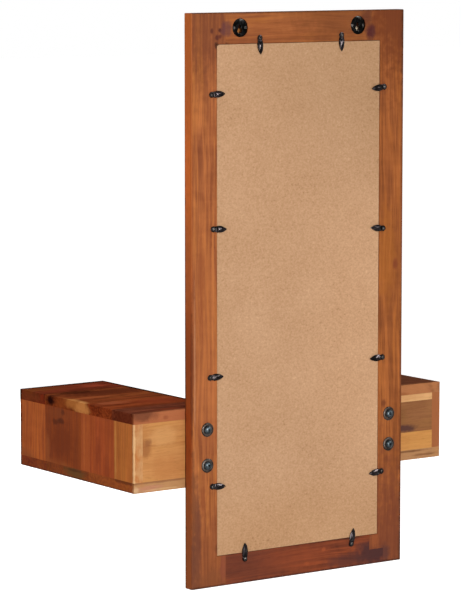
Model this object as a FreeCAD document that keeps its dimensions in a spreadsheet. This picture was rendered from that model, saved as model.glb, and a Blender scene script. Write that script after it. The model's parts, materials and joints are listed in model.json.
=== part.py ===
import FreeCAD, Part
import Sketcher
import math
import os
from enum import IntEnum

# Wall mirror in a solid wood frame, with a drawer box bolted to the front of each stile.
# Millimetres. +Z is up, the mirror faces -Y and the wall is on the +Y side; +X is the right of someone
# who looks into the mirror. The origin is midway between the entry holes of the two keyhole hangers,
# on the outer face of the hanger plates.

DIMENSIONS = {
    # frame
    "frame_width": 500,
    "frame_height": 1080,
    "frame_thick": 22,
    "member_width": 78,
    "frame_ease": 1.6,
    "rebate_width": 20,
    "tenon_length": 36,
    "tenon_width": 42,
    "tenon_thick": 8,
    "tenon_edge": 9,
    "joint_gap": 0.1,
    "lap_length": 34,
    "lap_height": 29,
    "lap_depth": 7,
    # mirror glass and backing board
    "glass_thick": 4,
    "glass_gap": 1.5,
    "board_thick": 6,
    "board_gap": 1,
    "board_recess": 0.3,
    "board_corner": 6,
    # keyhole hangers
    "hanger_diameter": 35,
    "hanger_thick": 2,
    "hanger_sink": 1.5,
    "hanger_drop": 28.5,
    "hanger_from_stile": 33.5,
    "hanger_gap": 0.2,
    "pocket_diameter": 22,
    "pocket_depth": 13,
    "keyhole_drop": 5.5,
    "keyhole_entry": 10,
    "keyhole_slot": 5.4,
    "keyhole_rise": 9,
    "hanger_screw_reach": 13.2,
    "hanger_screw_diameter": 2.6,
    "hanger_screw_length": 11,
    "hanger_screw_head": 5,
    "hanger_screw_sink": 1.3,
    # turn buttons
    "button_reach": 30.5,
    "button_head": 11.2,
    "button_leaf_width": 12.6,
    "button_leaf_tail": 5,
    "button_thick": 1.6,
    "button_ridge": 3.4,
    "button_peak": 14,
    "button_lift": 0.2,
    "button_screw_diameter": 4,
    "button_screw_play": 0.05,
    "button_screw_length": 14,
    "button_screw_head": 7.6,
    "button_screw_rim": 0.7,
    "button_screw_dome": 2.2,
    "button_screw_gap": 0.2,
    # where each turn button sits along its board (a share is of the frame's height), how far its screw
    # stands back from the rebate, and its skew
    "right_from_top": 151,
    "right_upper_share": 0.6284,
    "right_lower_share": 0.3702,
    "right_from_foot": 193,
    "left_from_top": 148,
    "left_upper_share": 0.6096,
    "left_lower_share": 0.3766,
    "left_from_foot": 182,
    "top_in_right": 78,
    "top_in_left": 74,
    "bottom_in_right": 44,
    "bottom_in_left": 45,
    "right_setback_1": 12,
    "right_setback_2": 8.5,
    "right_setback_3": 16,
    "right_setback_4": 11,
    "left_setback_1": 10,
    "left_setback_2": 9,
    "left_setback_3": 9,
    "left_setback_4": 8,
    "top_setback_right": 9.5,
    "top_setback_left": 11,
    "bottom_setback_right": 11.5,
    "bottom_setback_left": 12,
    "right_skew_1": 2,
    "right_skew_2": -3,
    "right_skew_3": 1,
    "right_skew_4": -4,
    "left_skew_1": -6,
    "left_skew_2": 5,
    "left_skew_3": -3,
    "left_skew_4": -5,
    "top_skew_right": 4,
    "top_skew_left": 1,
    "bottom_skew_right": 1,
    "bottom_skew_left": 10,
    # drawer boxes
    "box_width": 193,
    "box_depth": 400,
    "box_height": 150,
    "box_bottom": 192,
    "panel_thick": 20,
    "panel_ease": 1.2,
    "dowel_diameter": 8,
    "dowel_length": 30,
    "dowel_gap": 0.05,
    "dowel_in_face": 12,
    "dowel_end_margin": 45,
    "back_dowel_margin": 42,
    # bolts that hold the boxes
    "right_bolt_inset": 36,
    "left_bolt_inset": 32,
    "right_bolt_spacing": 68,
    "left_bolt_spacing": 60,
    "bolt_low": 42,
    "bolt_diameter": 8,
    "bolt_length": 38,
    "bolt_hole_gap": 0.3,
    "bolt_head": 17,
    "bolt_head_height": 4.4,
    "bolt_head_top": 9,
    "bolt_head_round": 8.8,
    "bolt_socket": 5,
    "bolt_socket_depth": 2.6,
    "washer_diameter": 27,
    "washer_thick": 2,
    "insert_diameter": 12,
    "insert_length": 16,
    "thread_gap": 0.1,
    # drawers
    "drawer_side_gap": 1.5,
    "drawer_front_gap": 1.5,
    "drawer_run_gap": 0.3,
    "drawer_front_thick": 18,
    "drawer_wall": 12,
    "drawer_side_height": 90,
    "drawer_lap": 10,
    "drawer_back_margin": 10,
    "drawer_back_dado": 5,
    "drawer_bottom_thick": 5,
    "drawer_bottom_raise": 9,
    "drawer_groove": 5,
    "drawer_groove_gap": 0.2,
    "knob_diameter": 28,
    "knob_foot": 15,
    "knob_neck": 10,
    "knob_length": 24,
    "knob_rim": 5,
    "knob_crown": 3,
    "knob_neck_length": 6,
    "knob_screw_diameter": 4,
    "knob_screw_bite": 12,
    "knob_screw_head": 8,
    "knob_screw_head_height": 2.4,
    "knob_screw_gap": 0.25,
}

doc = FreeCAD.newDocument("mirror_with_drawers")
sheet = doc.addObject("Spreadsheet::Sheet", "Dims")
for row, (alias, number) in enumerate(DIMENSIONS.items(), start=1):
    sheet.set(f"A{row}", alias)
    sheet.set(f"B{row}", str(number))
    sheet.setAlias(f"B{row}", alias)
doc.recompute()


class Size:
    """A length worked out from the sheet: its expression for the document, and its present value."""

    def __init__(self, text, value):
        self.text = text
        self.value = value

    def __add__(self, other):
        other = as_size(other)
        return Size(f"({self.text} + {other.text})", self.value + other.value)

    def __sub__(self, other):
        other = as_size(other)
        return Size(f"({self.text} - {other.text})", self.value - other.value)

    def __mul__(self, other):
        other = as_size(other)
        return Size(f"({self.text} * {other.text})", self.value * other.value)

    def __truediv__(self, other):
        other = as_size(other)
        return Size(f"({self.text} / {other.text})", self.value / other.value)

    def __neg__(self):
        return Size(f"(0 - {self.text})", -self.value)


def as_size(number):
    if isinstance(number, Size):
        return number
    return Size(f"{float(number):g}", float(number))


class Sheet:
    """Reads an alias of the sheet as a Size, such as dims.frame_width."""

    def __getattr__(self, alias):
        return Size(f"Dims.{alias}", float(sheet.get(alias)))


dims = Sheet()
ZERO = as_size(0)
FULL_TURN = 360
HALF_TURN = 180
QUARTER_TURN = 90
HEXAGON_HALF_ANGLE = math.radians(30)
SAME_PLACE = 0.001
LEAST_CUT = 0.001


class Side(IntEnum):
    """The sign of X on the two sides of the mirror."""

    RIGHT = 1
    LEFT = -1


class PointOf(IntEnum):
    """The numbers by which a sketch names the points of its geometry."""

    START = 1
    END = 2
    CENTRE = 3


SIDES = {"right": Side.RIGHT, "left": Side.LEFT}


# Sketches, pads and pockets

def new_body(label, x=0, y=0, z=0, turn=0):
    """A body at a place that follows the sheet, turned about the Y axis by so many degrees."""
    body = doc.addObject("PartDesign::Body", label)
    body.Label = label
    place = "; ".join(as_size(value).text for value in (x, y, z))
    rotation = f"rotation(vector(0; 1; 0); {as_size(turn).text})"
    body.setExpression("Placement", f"placement(vector({place}); {rotation})")
    return body


def new_sketch(body, role, lift=0):
    """A sketch on one of the body's own origin planes, lifted along that plane's normal."""
    plane = next(feature for feature in body.Origin.OriginFeatures if feature.Role == role)
    sketch = body.newObject("Sketcher::SketchObject", f"{body.Name}_sketch")
    sketch.AttachmentSupport = [(plane, "")]
    sketch.MapMode = "FlatFace"
    sketch.setExpression("AttachmentOffset.Base.z", as_size(lift).text)
    return sketch


def bind_constraint(sketch, constraint, size):
    index = sketch.addConstraint(constraint)
    sketch.setExpression(f"Constraints[{index}]", size.text)


def pin(sketch, geometry, position, x, y):
    """Hold one point of a sketch at a place that follows the sheet."""
    bind_constraint(sketch, Sketcher.Constraint("DistanceX", geometry, position, x.value), x)
    bind_constraint(sketch, Sketcher.Constraint("DistanceY", geometry, position, y.value), y)


def arc_between(start, end, radius):
    """The arc that bulges to the right of the way from start to end, as FreeCAD's counter-clockwise arc."""
    chord = end - start
    rise = math.sqrt(radius ** 2 - (chord.Length / 2) ** 2)
    left = FreeCAD.Vector(-chord.y, chord.x, 0).normalize()
    centre = start + chord * 0.5 + left * rise
    first = math.atan2(start.y - centre.y, start.x - centre.x)
    last = math.atan2(end.y - centre.y, end.x - centre.x)
    return Part.ArcOfCircle(Part.Circle(centre, FreeCAD.Vector(0, 0, 1), radius), first, last)


def draw_outline(sketch, points):
    """A closed counter-clockwise outline of corners (x, y); an outward arc leads to (x, y, radius)."""
    corners = [tuple(as_size(value) for value in point) for point in points]
    count = len(corners)
    places = [FreeCAD.Vector(corner[0].value, corner[1].value, 0) for corner in corners]
    first = sketch.GeometryCount
    for index in range(count):
        start = places[index]
        end = places[(index + 1) % count]
        target = corners[(index + 1) % count]
        if len(target) == 3:
            sketch.addGeometry(arc_between(start, end, target[2].value), False)
        else:
            sketch.addGeometry(Part.LineSegment(start, end), False)
    for index in range(count):
        after = first + (index + 1) % count
        joined = Sketcher.Constraint("Coincident", first + index, PointOf.END, after, PointOf.START)
        sketch.addConstraint(joined)
    for index, corner in enumerate(corners):
        pin(sketch, first + index, PointOf.START, corner[0], corner[1])
        if len(corner) == 3:
            arc = first + (index - 1) % count
            bind_constraint(sketch, Sketcher.Constraint("Radius", arc, corner[2].value), corner[2])


def draw_rectangle(sketch, x_low, x_high, y_low, y_high):
    draw_outline(sketch, [(x_low, y_low), (x_high, y_low), (x_high, y_high), (x_low, y_high)])


def draw_circle(sketch, x, y, diameter):
    x, y, diameter = as_size(x), as_size(y), as_size(diameter)
    centre = FreeCAD.Vector(x.value, y.value, 0)
    circle = sketch.addGeometry(Part.Circle(centre, FreeCAD.Vector(0, 0, 1), diameter.value / 2), False)
    pin(sketch, circle, PointOf.CENTRE, x, y)
    bind_constraint(sketch, Sketcher.Constraint("Diameter", circle, diameter.value), diameter)


def pad(body, sketch, length, backwards=False):
    """Grow a sketch along its plane's normal, or the other way."""
    feature = body.newObject("PartDesign::Pad", f"{body.Name}_pad")
    feature.Profile = sketch
    feature.Reversed = backwards
    feature.setExpression("Length", as_size(length).text)
    return feature


def pocket(body, sketch, depth, along_normal=False):
    """Cut a sketch into the body against its plane's normal, or along it."""
    feature = body.newObject("PartDesign::Pocket", f"{body.Name}_pocket")
    feature.Profile = sketch
    feature.Reversed = along_normal
    feature.setExpression("Length", as_size(depth).text)
    return feature


def revolve(body, sketch):
    """Turn a sketch all the way round its vertical axis."""
    feature = body.newObject("PartDesign::Revolution", f"{body.Name}_revolution")
    feature.Profile = sketch
    feature.ReferenceAxis = (sketch, ["V_Axis"])
    feature.Angle = FULL_TURN
    return feature


def drill(body, role, lift, circles, depth, along_normal=False):
    """Cut round holes of one depth, each given as x, y and diameter on the lifted plane."""
    sketch = new_sketch(body, role, lift)
    for x, y, diameter in circles:
        draw_circle(sketch, x, y, diameter)
    return pocket(body, sketch, depth, along_normal)


def ease(body, radius, wanted):
    """Round the straight edges that the test picks by their middle point."""
    doc.recompute()
    base = body.Tip
    names = []
    for number, edge in enumerate(base.Shape.Edges, start=1):
        middle = edge.valueAt((edge.FirstParameter + edge.LastParameter) / 2)
        if isinstance(edge.Curve, Part.Line) and wanted(middle):
            names.append(f"Edge{number}")
    feature = body.newObject("PartDesign::Fillet", f"{body.Name}_ease")
    feature.Base = (base, names)
    feature.setExpression("Radius", radius.text)
    return feature


def group(label, pieces):
    """One named group of separate solids, such as a set of like screws."""
    compound = doc.addObject("Part::Compound", label)
    compound.Label = label
    compound.Links = pieces
    return compound


def near(value, place):
    """True where two lengths are the same to well under the smallest gap in the part."""
    return abs(value - place) < SAME_PLACE


def panel(label, x_low, x_high, y_low, y_high, z_low, z_high):
    """A board given by its six faces; its body stands at the board's lower face."""
    body = new_body(label, z=z_low)
    sketch = new_sketch(body, "XY_Plane")
    draw_rectangle(sketch, x_low, x_high, y_low, y_high)
    pad(body, sketch, as_size(z_high) - z_low)
    return body


def ordered(first, second):
    """Two lengths, the lower first, so that a left-hand piece can use the right-hand piece's numbers."""
    if first.value <= second.value:
        return first, second
    return second, first


# Places that several pieces share

BACK = dims.hanger_sink
FRONT = BACK - dims.frame_thick
TOP = dims.hanger_drop + dims.keyhole_drop
BOTTOM = TOP - dims.frame_height
HALF_WIDTH = dims.frame_width / 2
STILE_INNER = HALF_WIDTH - dims.member_width
REBATE_EDGE = STILE_INNER + dims.rebate_width
REBATE_MARGIN = dims.member_width - dims.rebate_width
REBATE_DEPTH = dims.glass_thick + dims.board_thick + dims.board_recess
REBATE_FLOOR = BACK - REBATE_DEPTH
TENON_Y_LOW = FRONT + (dims.frame_thick - dims.tenon_thick) / 2
HANGER_X = STILE_INNER - dims.hanger_from_stile
HANGER_Z = dims.keyhole_drop
BOLT_HOLE = dims.bolt_diameter + dims.bolt_hole_gap * 2
PILOT = dims.button_screw_diameter + dims.button_screw_play * 2


# Where the turn buttons sit: height or distance along the board, and the way the leaf points

def button_places():
    """Every turn button as name: (board, x, height above the frame's foot, turn about Y)."""
    places = {}
    for side, sign in SIDES.items():
        inward = HALF_TURN if sign == Side.RIGHT else 0
        heights = (
            dims.frame_height - getattr(dims, f"{side}_from_top"),
            dims.frame_height * getattr(dims, f"{side}_upper_share"),
            dims.frame_height * getattr(dims, f"{side}_lower_share"),
            getattr(dims, f"{side}_from_foot"),
        )
        for number, height in enumerate(heights, start=1):
            skew = getattr(dims, f"{side}_skew_{number}") * sign
            setback = getattr(dims, f"{side}_setback_{number}")
            x = (REBATE_EDGE + setback) * sign
            places[f"turn_button_{side}_{number}"] = (f"{side}_stile", x, height, skew + inward)
        for rail, way in (("top", 1), ("bottom", -1)):
            x = (STILE_INNER - getattr(dims, f"{rail}_in_{side}")) * sign
            inset = REBATE_MARGIN - getattr(dims, f"{rail}_setback_{side}")
            height = dims.frame_height - inset if rail == "top" else inset
            turn = (getattr(dims, f"{rail}_skew_{side}") + QUARTER_TURN) * way
            places[f"turn_button_{rail}_{side}"] = (f"{rail}_rail", x, height, turn)
    return places


BUTTONS = button_places()


def bolt_places(side, sign):
    """The two bolts of one side, the lower first, as (x, height above the frame's foot)."""
    x = (HALF_WIDTH - getattr(dims, f"{side}_bolt_inset")) * sign
    low = dims.box_bottom + dims.bolt_low
    return [(x, low), (x, low + getattr(dims, f"{side}_bolt_spacing"))]


def pilot_holes(board):
    """The holes for the button screws in one board, as circles on the board's back."""
    holes = []
    for home, x, height, _ in BUTTONS.values():
        if home == board:
            holes.append((x, height, PILOT))
    return holes


# Frame: two full-height stiles, two rails tenoned between them, a stopped rebate behind for glass and backing

def make_stile(side, sign):
    label = f"{side}_stile"
    body = new_body(label, z=BOTTOM)
    section = new_sketch(body, "XY_Plane")
    x_low, x_high = ordered(STILE_INNER * sign, HALF_WIDTH * sign)
    draw_rectangle(section, x_low, x_high, FRONT, BACK)
    pad(body, section, dims.frame_height)
    outer = HALF_WIDTH.value
    inner = STILE_INNER.value
    height = dims.frame_height.value

    def is_outer_edge(middle):
        at_end = near(middle.z, 0) or near(middle.z, height)
        return near(abs(middle.x), outer) or (at_end and not near(abs(middle.x), inner))

    ease(body, dims.frame_ease, is_outer_edge)
    rebate = new_sketch(body, "XZ_Plane", -BACK)
    x_low, x_high = ordered(STILE_INNER * sign, REBATE_EDGE * sign)
    draw_rectangle(rebate, x_low, x_high, REBATE_MARGIN, dims.frame_height - REBATE_MARGIN)
    pocket(body, rebate, REBATE_DEPTH, along_normal=True)
    mortises = new_sketch(body, "YZ_Plane", STILE_INNER * sign)
    gap = dims.joint_gap
    for low in (dims.tenon_edge, dims.frame_height - dims.tenon_edge - dims.tenon_width):
        draw_rectangle(mortises, TENON_Y_LOW - gap, TENON_Y_LOW + dims.tenon_thick + gap,
                       low - gap, low + dims.tenon_width + gap)
    pocket(body, mortises, dims.tenon_length + gap, along_normal=sign == Side.RIGHT)
    drill(body, "XZ_Plane", -BACK, pilot_holes(label), dims.button_screw_length, along_normal=True)
    bolts = [(x, height, BOLT_HOLE) for x, height in bolt_places(side, sign)]
    drill(body, "XZ_Plane", -BACK, bolts, dims.frame_thick, along_normal=True)
    if sign == Side.LEFT:
        notch = new_sketch(body, "XZ_Plane", -BACK)
        draw_rectangle(notch, -STILE_INNER - dims.lap_length, -STILE_INNER, 0, dims.lap_height)
        pocket(body, notch, dims.lap_depth, along_normal=True)
    return body


def make_rail(label, is_top):
    body = new_body(label, z=TOP - dims.member_width if is_top else BOTTOM)
    section = new_sketch(body, "YZ_Plane", -STILE_INNER)
    draw_rectangle(section, FRONT, BACK, 0, dims.member_width)
    pad(body, section, STILE_INNER * 2)
    if not is_top:
        lap = new_sketch(body, "XZ_Plane", -BACK)
        draw_rectangle(lap, -STILE_INNER - dims.lap_length, -STILE_INNER, 0, dims.lap_height)
        pad(body, lap, dims.lap_depth)
    outer = dims.member_width.value if is_top else 0

    def is_long_outer_edge(middle):
        on_face = near(middle.y, BACK.value) or near(middle.y, FRONT.value)
        return on_face and near(middle.z, outer)

    ease(body, dims.frame_ease, is_long_outer_edge)
    rebate = new_sketch(body, "XZ_Plane", -BACK)
    low = ZERO if is_top else REBATE_MARGIN
    draw_rectangle(rebate, -STILE_INNER, STILE_INNER, low, low + dims.rebate_width)
    pocket(body, rebate, REBATE_DEPTH, along_normal=True)
    low = dims.member_width - dims.tenon_edge - dims.tenon_width if is_top else dims.tenon_edge
    for sign in SIDES.values():
        tenon = new_sketch(body, "YZ_Plane", STILE_INNER * sign)
        draw_rectangle(tenon, TENON_Y_LOW, TENON_Y_LOW + dims.tenon_thick, low, low + dims.tenon_width)
        pad(body, tenon, dims.tenon_length, backwards=sign == Side.LEFT)
    foot = dims.frame_height - dims.member_width if is_top else ZERO
    holes = [(x, height - foot, diameter) for x, height, diameter in pilot_holes(label)]
    drill(body, "XZ_Plane", -BACK, holes, dims.button_screw_length, along_normal=True)
    if is_top:
        add_hanger_seats(body)
    return body


def add_hanger_seats(rail):
    """A stepped round recess for each hanger: a seat for the plate and a deeper pocket for a screw head."""
    height = dims.member_width - dims.hanger_drop
    seat = dims.hanger_diameter + dims.hanger_gap * 2
    seats = [(HANGER_X * sign, height, seat) for sign in SIDES.values()]
    drill(rail, "XZ_Plane", -BACK, seats, dims.hanger_sink + dims.hanger_thick, along_normal=True)
    pockets = [(HANGER_X * sign, height, dims.pocket_diameter) for sign in SIDES.values()]
    drill(rail, "XZ_Plane", -BACK, pockets, dims.pocket_depth, along_normal=True)
    pilots = []
    for sign in SIDES.values():
        for reach in (dims.hanger_screw_reach, -dims.hanger_screw_reach):
            pilots.append((HANGER_X * sign + reach, height, dims.hanger_screw_diameter))
    drill(rail, "XZ_Plane", -BACK, pilots, dims.hanger_sink + dims.hanger_screw_length, along_normal=True)


def make_sheet_in_rebate(label, gap, y_low, thick):
    """A flat sheet that lies in the rebate with a gap all round."""
    half = REBATE_EDGE - gap
    low = BOTTOM + REBATE_MARGIN + gap
    high = TOP - REBATE_MARGIN - gap
    return panel(label, -half, half, y_low, y_low + thick, low, high)


def make_backing_board():
    """The hardboard behind the glass; one of its upper corners is worn round."""
    gap = dims.board_gap
    board = make_sheet_in_rebate("backing_board", gap, REBATE_FLOOR + dims.glass_thick, dims.board_thick)
    half = REBATE_EDGE - gap
    height = dims.frame_height - REBATE_MARGIN * 2 - gap * 2

    def is_worn_corner(middle):
        return near(middle.x, half.value) and near(middle.z, height.value)

    ease(board, dims.board_corner, is_worn_corner)
    return board


# Keyhole hangers: a round plate with an entry hole, a slot above it and a countersunk screw each side

def make_hanger(side, sign):
    body = new_body(f"{side}_hanger", x=HANGER_X * sign)
    disc = new_sketch(body, "XZ_Plane")
    draw_circle(disc, 0, HANGER_Z, dims.hanger_diameter)
    pad(body, disc, dims.hanger_thick)
    drill(body, "XZ_Plane", 0, [(0, 0, dims.keyhole_entry)], dims.hanger_thick, along_normal=True)
    slot = new_sketch(body, "XZ_Plane")
    half = dims.keyhole_slot / 2
    draw_outline(slot, [(-half, 0), (half, 0), (half, dims.keyhole_rise), (-half, dims.keyhole_rise)])
    pocket(body, slot, dims.hanger_thick, along_normal=True)
    slot_end = (0, dims.keyhole_rise, dims.keyhole_slot)
    drill(body, "XZ_Plane", 0, [slot_end], dims.hanger_thick, along_normal=True)
    reaches = (dims.hanger_screw_reach, -dims.hanger_screw_reach)
    shanks = [(reach, HANGER_Z, dims.hanger_screw_diameter) for reach in reaches]
    drill(body, "XZ_Plane", 0, shanks, dims.hanger_thick, along_normal=True)
    heads = [(reach, HANGER_Z, dims.hanger_screw_head + dims.hanger_gap * 2) for reach in reaches]
    drill(body, "XZ_Plane", 0, heads, dims.hanger_screw_sink, along_normal=True)
    return body


def make_hanger_screws():
    screws = []
    for side, sign in SIDES.items():
        for name, reach in (("outer", dims.hanger_screw_reach), ("inner", -dims.hanger_screw_reach)):
            body = new_body(f"{side}_{name}_hanger_screw", x=HANGER_X * sign + reach, z=HANGER_Z)
            profile = new_sketch(body, "XY_Plane")
            head = dims.hanger_screw_head / 2
            shank = dims.hanger_screw_diameter / 2
            seat = -dims.hanger_screw_sink
            tip = -dims.hanger_screw_length
            draw_outline(profile, [
                (0, tip), (shank, tip + shank), (shank, seat), (head, seat), (head, ZERO), (0, ZERO)])
            revolve(body, profile)
            screws.append(body)
    return group("hanger_screws", screws)


# Turn buttons: a round eye on a screw and a ridged, pointed leaf that lies over the backing board

def make_turn_button(label, x, height, turn):
    body = new_body(label, x=x, y=BACK + dims.button_lift, z=BOTTOM + height, turn=turn)
    eye = new_sketch(body, "XZ_Plane")
    draw_circle(eye, 0, 0, dims.button_head)
    pad(body, eye, dims.button_thick, backwards=True)
    leaf = new_sketch(body, "XZ_Plane")
    tail = dims.button_leaf_tail * -1
    half_length = (dims.button_reach - tail) / 2
    half_width = dims.button_leaf_width / 2
    radius = (half_length * half_length + half_width * half_width) / (half_width * 2)
    draw_outline(leaf, [(tail, 0, radius), (dims.button_reach, 0, radius)])
    pad(body, leaf, dims.button_ridge, backwards=True)
    for sign in SIDES.values():
        slope = new_sketch(body, "YZ_Plane")
        edge = half_width * sign
        points = [(dims.button_ridge, 0), (dims.button_ridge, edge), (dims.button_thick, edge)]
        draw_outline(slope, points if sign == Side.RIGHT else points[::-1])
        pocket(body, slope, dims.button_reach, along_normal=True)
    fall = new_sketch(body, "XY_Plane", -half_width)
    draw_outline(fall, [
        (dims.button_peak, dims.button_ridge), (dims.button_reach, dims.button_thick),
        (dims.button_reach, dims.button_ridge)])
    pocket(body, fall, dims.button_leaf_width, along_normal=True)
    rise = new_sketch(body, "XY_Plane", -half_width)
    draw_outline(rise, [
        (tail, dims.button_thick), (dims.button_head / 2, dims.button_thick),
        (dims.button_peak, dims.button_ridge), (tail, dims.button_ridge)])
    pocket(body, rise, dims.button_leaf_width, along_normal=True)
    drill(body, "XZ_Plane", 0, [(0, 0, PILOT)], dims.button_ridge, along_normal=False)
    return body


def make_button_screws():
    screws = []
    for label, (_, x, height, _) in BUTTONS.items():
        body = new_body(f"{label}_screw", x=x, y=BACK, z=BOTTOM + height)
        profile = new_sketch(body, "XY_Plane")
        shank = dims.button_screw_diameter / 2
        head = dims.button_screw_head / 2
        seat = dims.button_lift + dims.button_thick + dims.button_screw_gap
        rim = seat + dims.button_screw_rim
        crown = seat + dims.button_screw_dome
        tip = -dims.button_screw_length
        draw_outline(profile, [
            (0, tip), (shank, tip + shank), (shank, seat), (head, seat), (head, rim),
            (head / 2, crown), (0, crown)])
        revolve(body, profile)
        screws.append(body)
    return group("turn_button_screws", screws)


# Drawer boxes: top and bottom boards run over the two sides, and the back stands between the sides

def box_faces(sign):
    """The box's faces as places that its boards and its drawer share."""
    thick = dims.panel_thick
    inner = STILE_INNER
    outer = STILE_INNER + dims.box_width
    floor = BOTTOM + dims.box_bottom
    return {
        "inner": inner * sign,
        "outer": outer * sign,
        "inner_wall": (inner + thick) * sign,
        "outer_wall": (outer - thick) * sign,
        "floor": floor,
        "floor_top": floor + thick,
        "ceiling": floor + dims.box_height - thick,
        "roof": floor + dims.box_height,
        "mouth": FRONT - dims.box_depth,
        "back_wall": FRONT - thick,
    }


def side_dowel_rows(faces):
    """Where the dowels of the side boards stand: the middle of each side, at three places along its depth."""
    rows = []
    middle = (faces["mouth"] + FRONT) / 2
    depths = (faces["mouth"] + dims.dowel_end_margin, middle, FRONT - dims.dowel_end_margin)
    for wall in ("inner", "outer"):
        x = (faces[wall] + faces[f"{wall}_wall"]) / 2
        rows.extend((wall, x, y) for y in depths)
    return rows


def back_dowel_heights(faces):
    return (faces["floor_top"] + dims.back_dowel_margin, faces["ceiling"] - dims.back_dowel_margin)


def make_box(side, sign):
    faces = box_faces(sign)
    x_low, x_high = ordered(faces["inner"], faces["outer"])
    rows = side_dowel_rows(faces)
    hole = dims.dowel_diameter + dims.dowel_gap * 2
    in_edge = dims.dowel_length - dims.dowel_in_face + dims.dowel_gap
    in_face = dims.dowel_in_face + dims.dowel_gap
    corners = (x_low.value, x_high.value)
    ends = (faces["mouth"].value, FRONT.value)

    def on_corner(middle):
        return any(near(middle.x, x) for x in corners) and any(near(middle.y, y) for y in ends)

    def on_rim(middle, height):
        at_edge = any(near(middle.x, x) for x in corners) or any(near(middle.y, y) for y in ends)
        return near(middle.z, height) and at_edge

    thick = dims.panel_thick.value
    mouth = faces["mouth"]
    top = panel(f"{side}_box_top", x_low, x_high, mouth, FRONT, faces["ceiling"], faces["roof"])
    ease(top, dims.panel_ease, lambda middle: on_corner(middle) or on_rim(middle, thick))
    drill(top, "XY_Plane", 0, [(x, y, hole) for _, x, y in rows], in_face, along_normal=True)
    bottom = panel(f"{side}_box_bottom", x_low, x_high, mouth, FRONT, faces["floor"], faces["floor_top"])
    ease(bottom, dims.panel_ease, lambda middle: on_corner(middle) or on_rim(middle, 0))
    drill(bottom, "XY_Plane", dims.panel_thick, [(x, y, hole) for _, x, y in rows], in_face)
    for wall in ("inner", "outer"):
        make_box_side(side, sign, wall, faces, rows, hole, in_edge, in_face, on_corner)
    make_box_back(side, sign, faces, hole, in_edge)
    make_box_dowels(side, faces, rows)


def make_box_side(side, sign, wall, faces, rows, hole, in_edge, in_face, on_corner):
    x_low, x_high = ordered(faces[wall], faces[f"{wall}_wall"])
    body = panel(f"{side}_box_{wall}_side", x_low, x_high, faces["mouth"], FRONT,
                 faces["floor_top"], faces["ceiling"])
    ease(body, dims.panel_ease, on_corner)
    holes = [(x, y, hole) for name, x, y in rows if name == wall]
    height = faces["ceiling"] - faces["floor_top"]
    drill(body, "XY_Plane", 0, holes, in_edge, along_normal=True)
    drill(body, "XY_Plane", height, holes, in_edge)
    y = (faces["back_wall"] + FRONT) / 2
    back_holes = [(y, z - faces["floor_top"], hole) for z in back_dowel_heights(faces)]
    into_positive_x = (wall == "outer") == (sign == Side.RIGHT)
    drill(body, "YZ_Plane", faces[f"{wall}_wall"], back_holes, in_face, along_normal=into_positive_x)


def make_box_back(side, sign, faces, hole, in_edge):
    x_low, x_high = ordered(faces["inner_wall"], faces["outer_wall"])
    body = panel(f"{side}_box_back", x_low, x_high, faces["back_wall"], FRONT,
                 faces["floor_top"], faces["ceiling"])
    y = (faces["back_wall"] + FRONT) / 2
    holes = [(y, z - faces["floor_top"], hole) for z in back_dowel_heights(faces)]
    drill(body, "YZ_Plane", x_low, holes, in_edge, along_normal=True)
    drill(body, "YZ_Plane", x_high, holes, in_edge)
    inserts = []
    for x, height in bolt_places(side, sign):
        inserts.append((x, BOTTOM + height - faces["floor_top"], dims.insert_diameter))
    drill(body, "XZ_Plane", -FRONT, inserts, dims.panel_thick, along_normal=True)
    return body


def make_dowel(label, x, y, z, axis):
    """A round dowel whose end is at the given place, along +Z or +X."""
    dowel = doc.addObject("Part::Cylinder", label)
    dowel.Label = label
    dowel.setExpression("Radius", (dims.dowel_diameter / 2).text)
    dowel.setExpression("Height", dims.dowel_length.text)
    turn = QUARTER_TURN if axis == "x" else 0
    place = "; ".join(value.text for value in (x, y, z))
    dowel.setExpression("Placement", f"placement(vector({place}); rotation(vector(0; 1; 0); {turn}))")
    return dowel


def make_box_dowels(side, faces, rows):
    dowels = []
    for number, (_, x, y) in enumerate(rows, start=1):
        lower = faces["floor_top"] - dims.dowel_in_face
        upper = faces["ceiling"] + dims.dowel_in_face - dims.dowel_length
        dowels.append(make_dowel(f"{side}_floor_dowel_{number}", x, y, lower, "z"))
        dowels.append(make_dowel(f"{side}_roof_dowel_{number}", x, y, upper, "z"))
    y = (faces["back_wall"] + FRONT) / 2
    x_low, x_high = ordered(faces["inner_wall"], faces["outer_wall"])
    for number, z in enumerate(back_dowel_heights(faces), start=1):
        first = x_low - dims.dowel_in_face
        last = x_high + dims.dowel_in_face - dims.dowel_length
        dowels.append(make_dowel(f"{side}_back_dowel_{number}_low", first, y, z, "x"))
        dowels.append(make_dowel(f"{side}_back_dowel_{number}_high", last, y, z, "x"))
    return group(f"{side}_box_dowels", dowels)


# Bolts: through washer and stile into a threaded insert in the box's back

def make_bolts():
    bolts = []
    washers = []
    inserts = []
    for side, sign in SIDES.items():
        for number, (x, height) in enumerate(bolt_places(side, sign), start=1):
            z = BOTTOM + height
            bolts.append(make_bolt(f"{side}_box_bolt_{number}", x, z))
            washers.append(make_ring(f"{side}_bolt_washer_{number}", x, BACK, z,
                                     dims.washer_diameter, BOLT_HOLE, dims.washer_thick))
            inserts.append(make_ring(f"{side}_threaded_insert_{number}", x, FRONT - dims.insert_length, z,
                                     dims.insert_diameter, dims.bolt_diameter + dims.thread_gap * 2,
                                     dims.insert_length))
    group("box_bolts", bolts)
    group("bolt_washers", washers)
    group("threaded_inserts", inserts)


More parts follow.
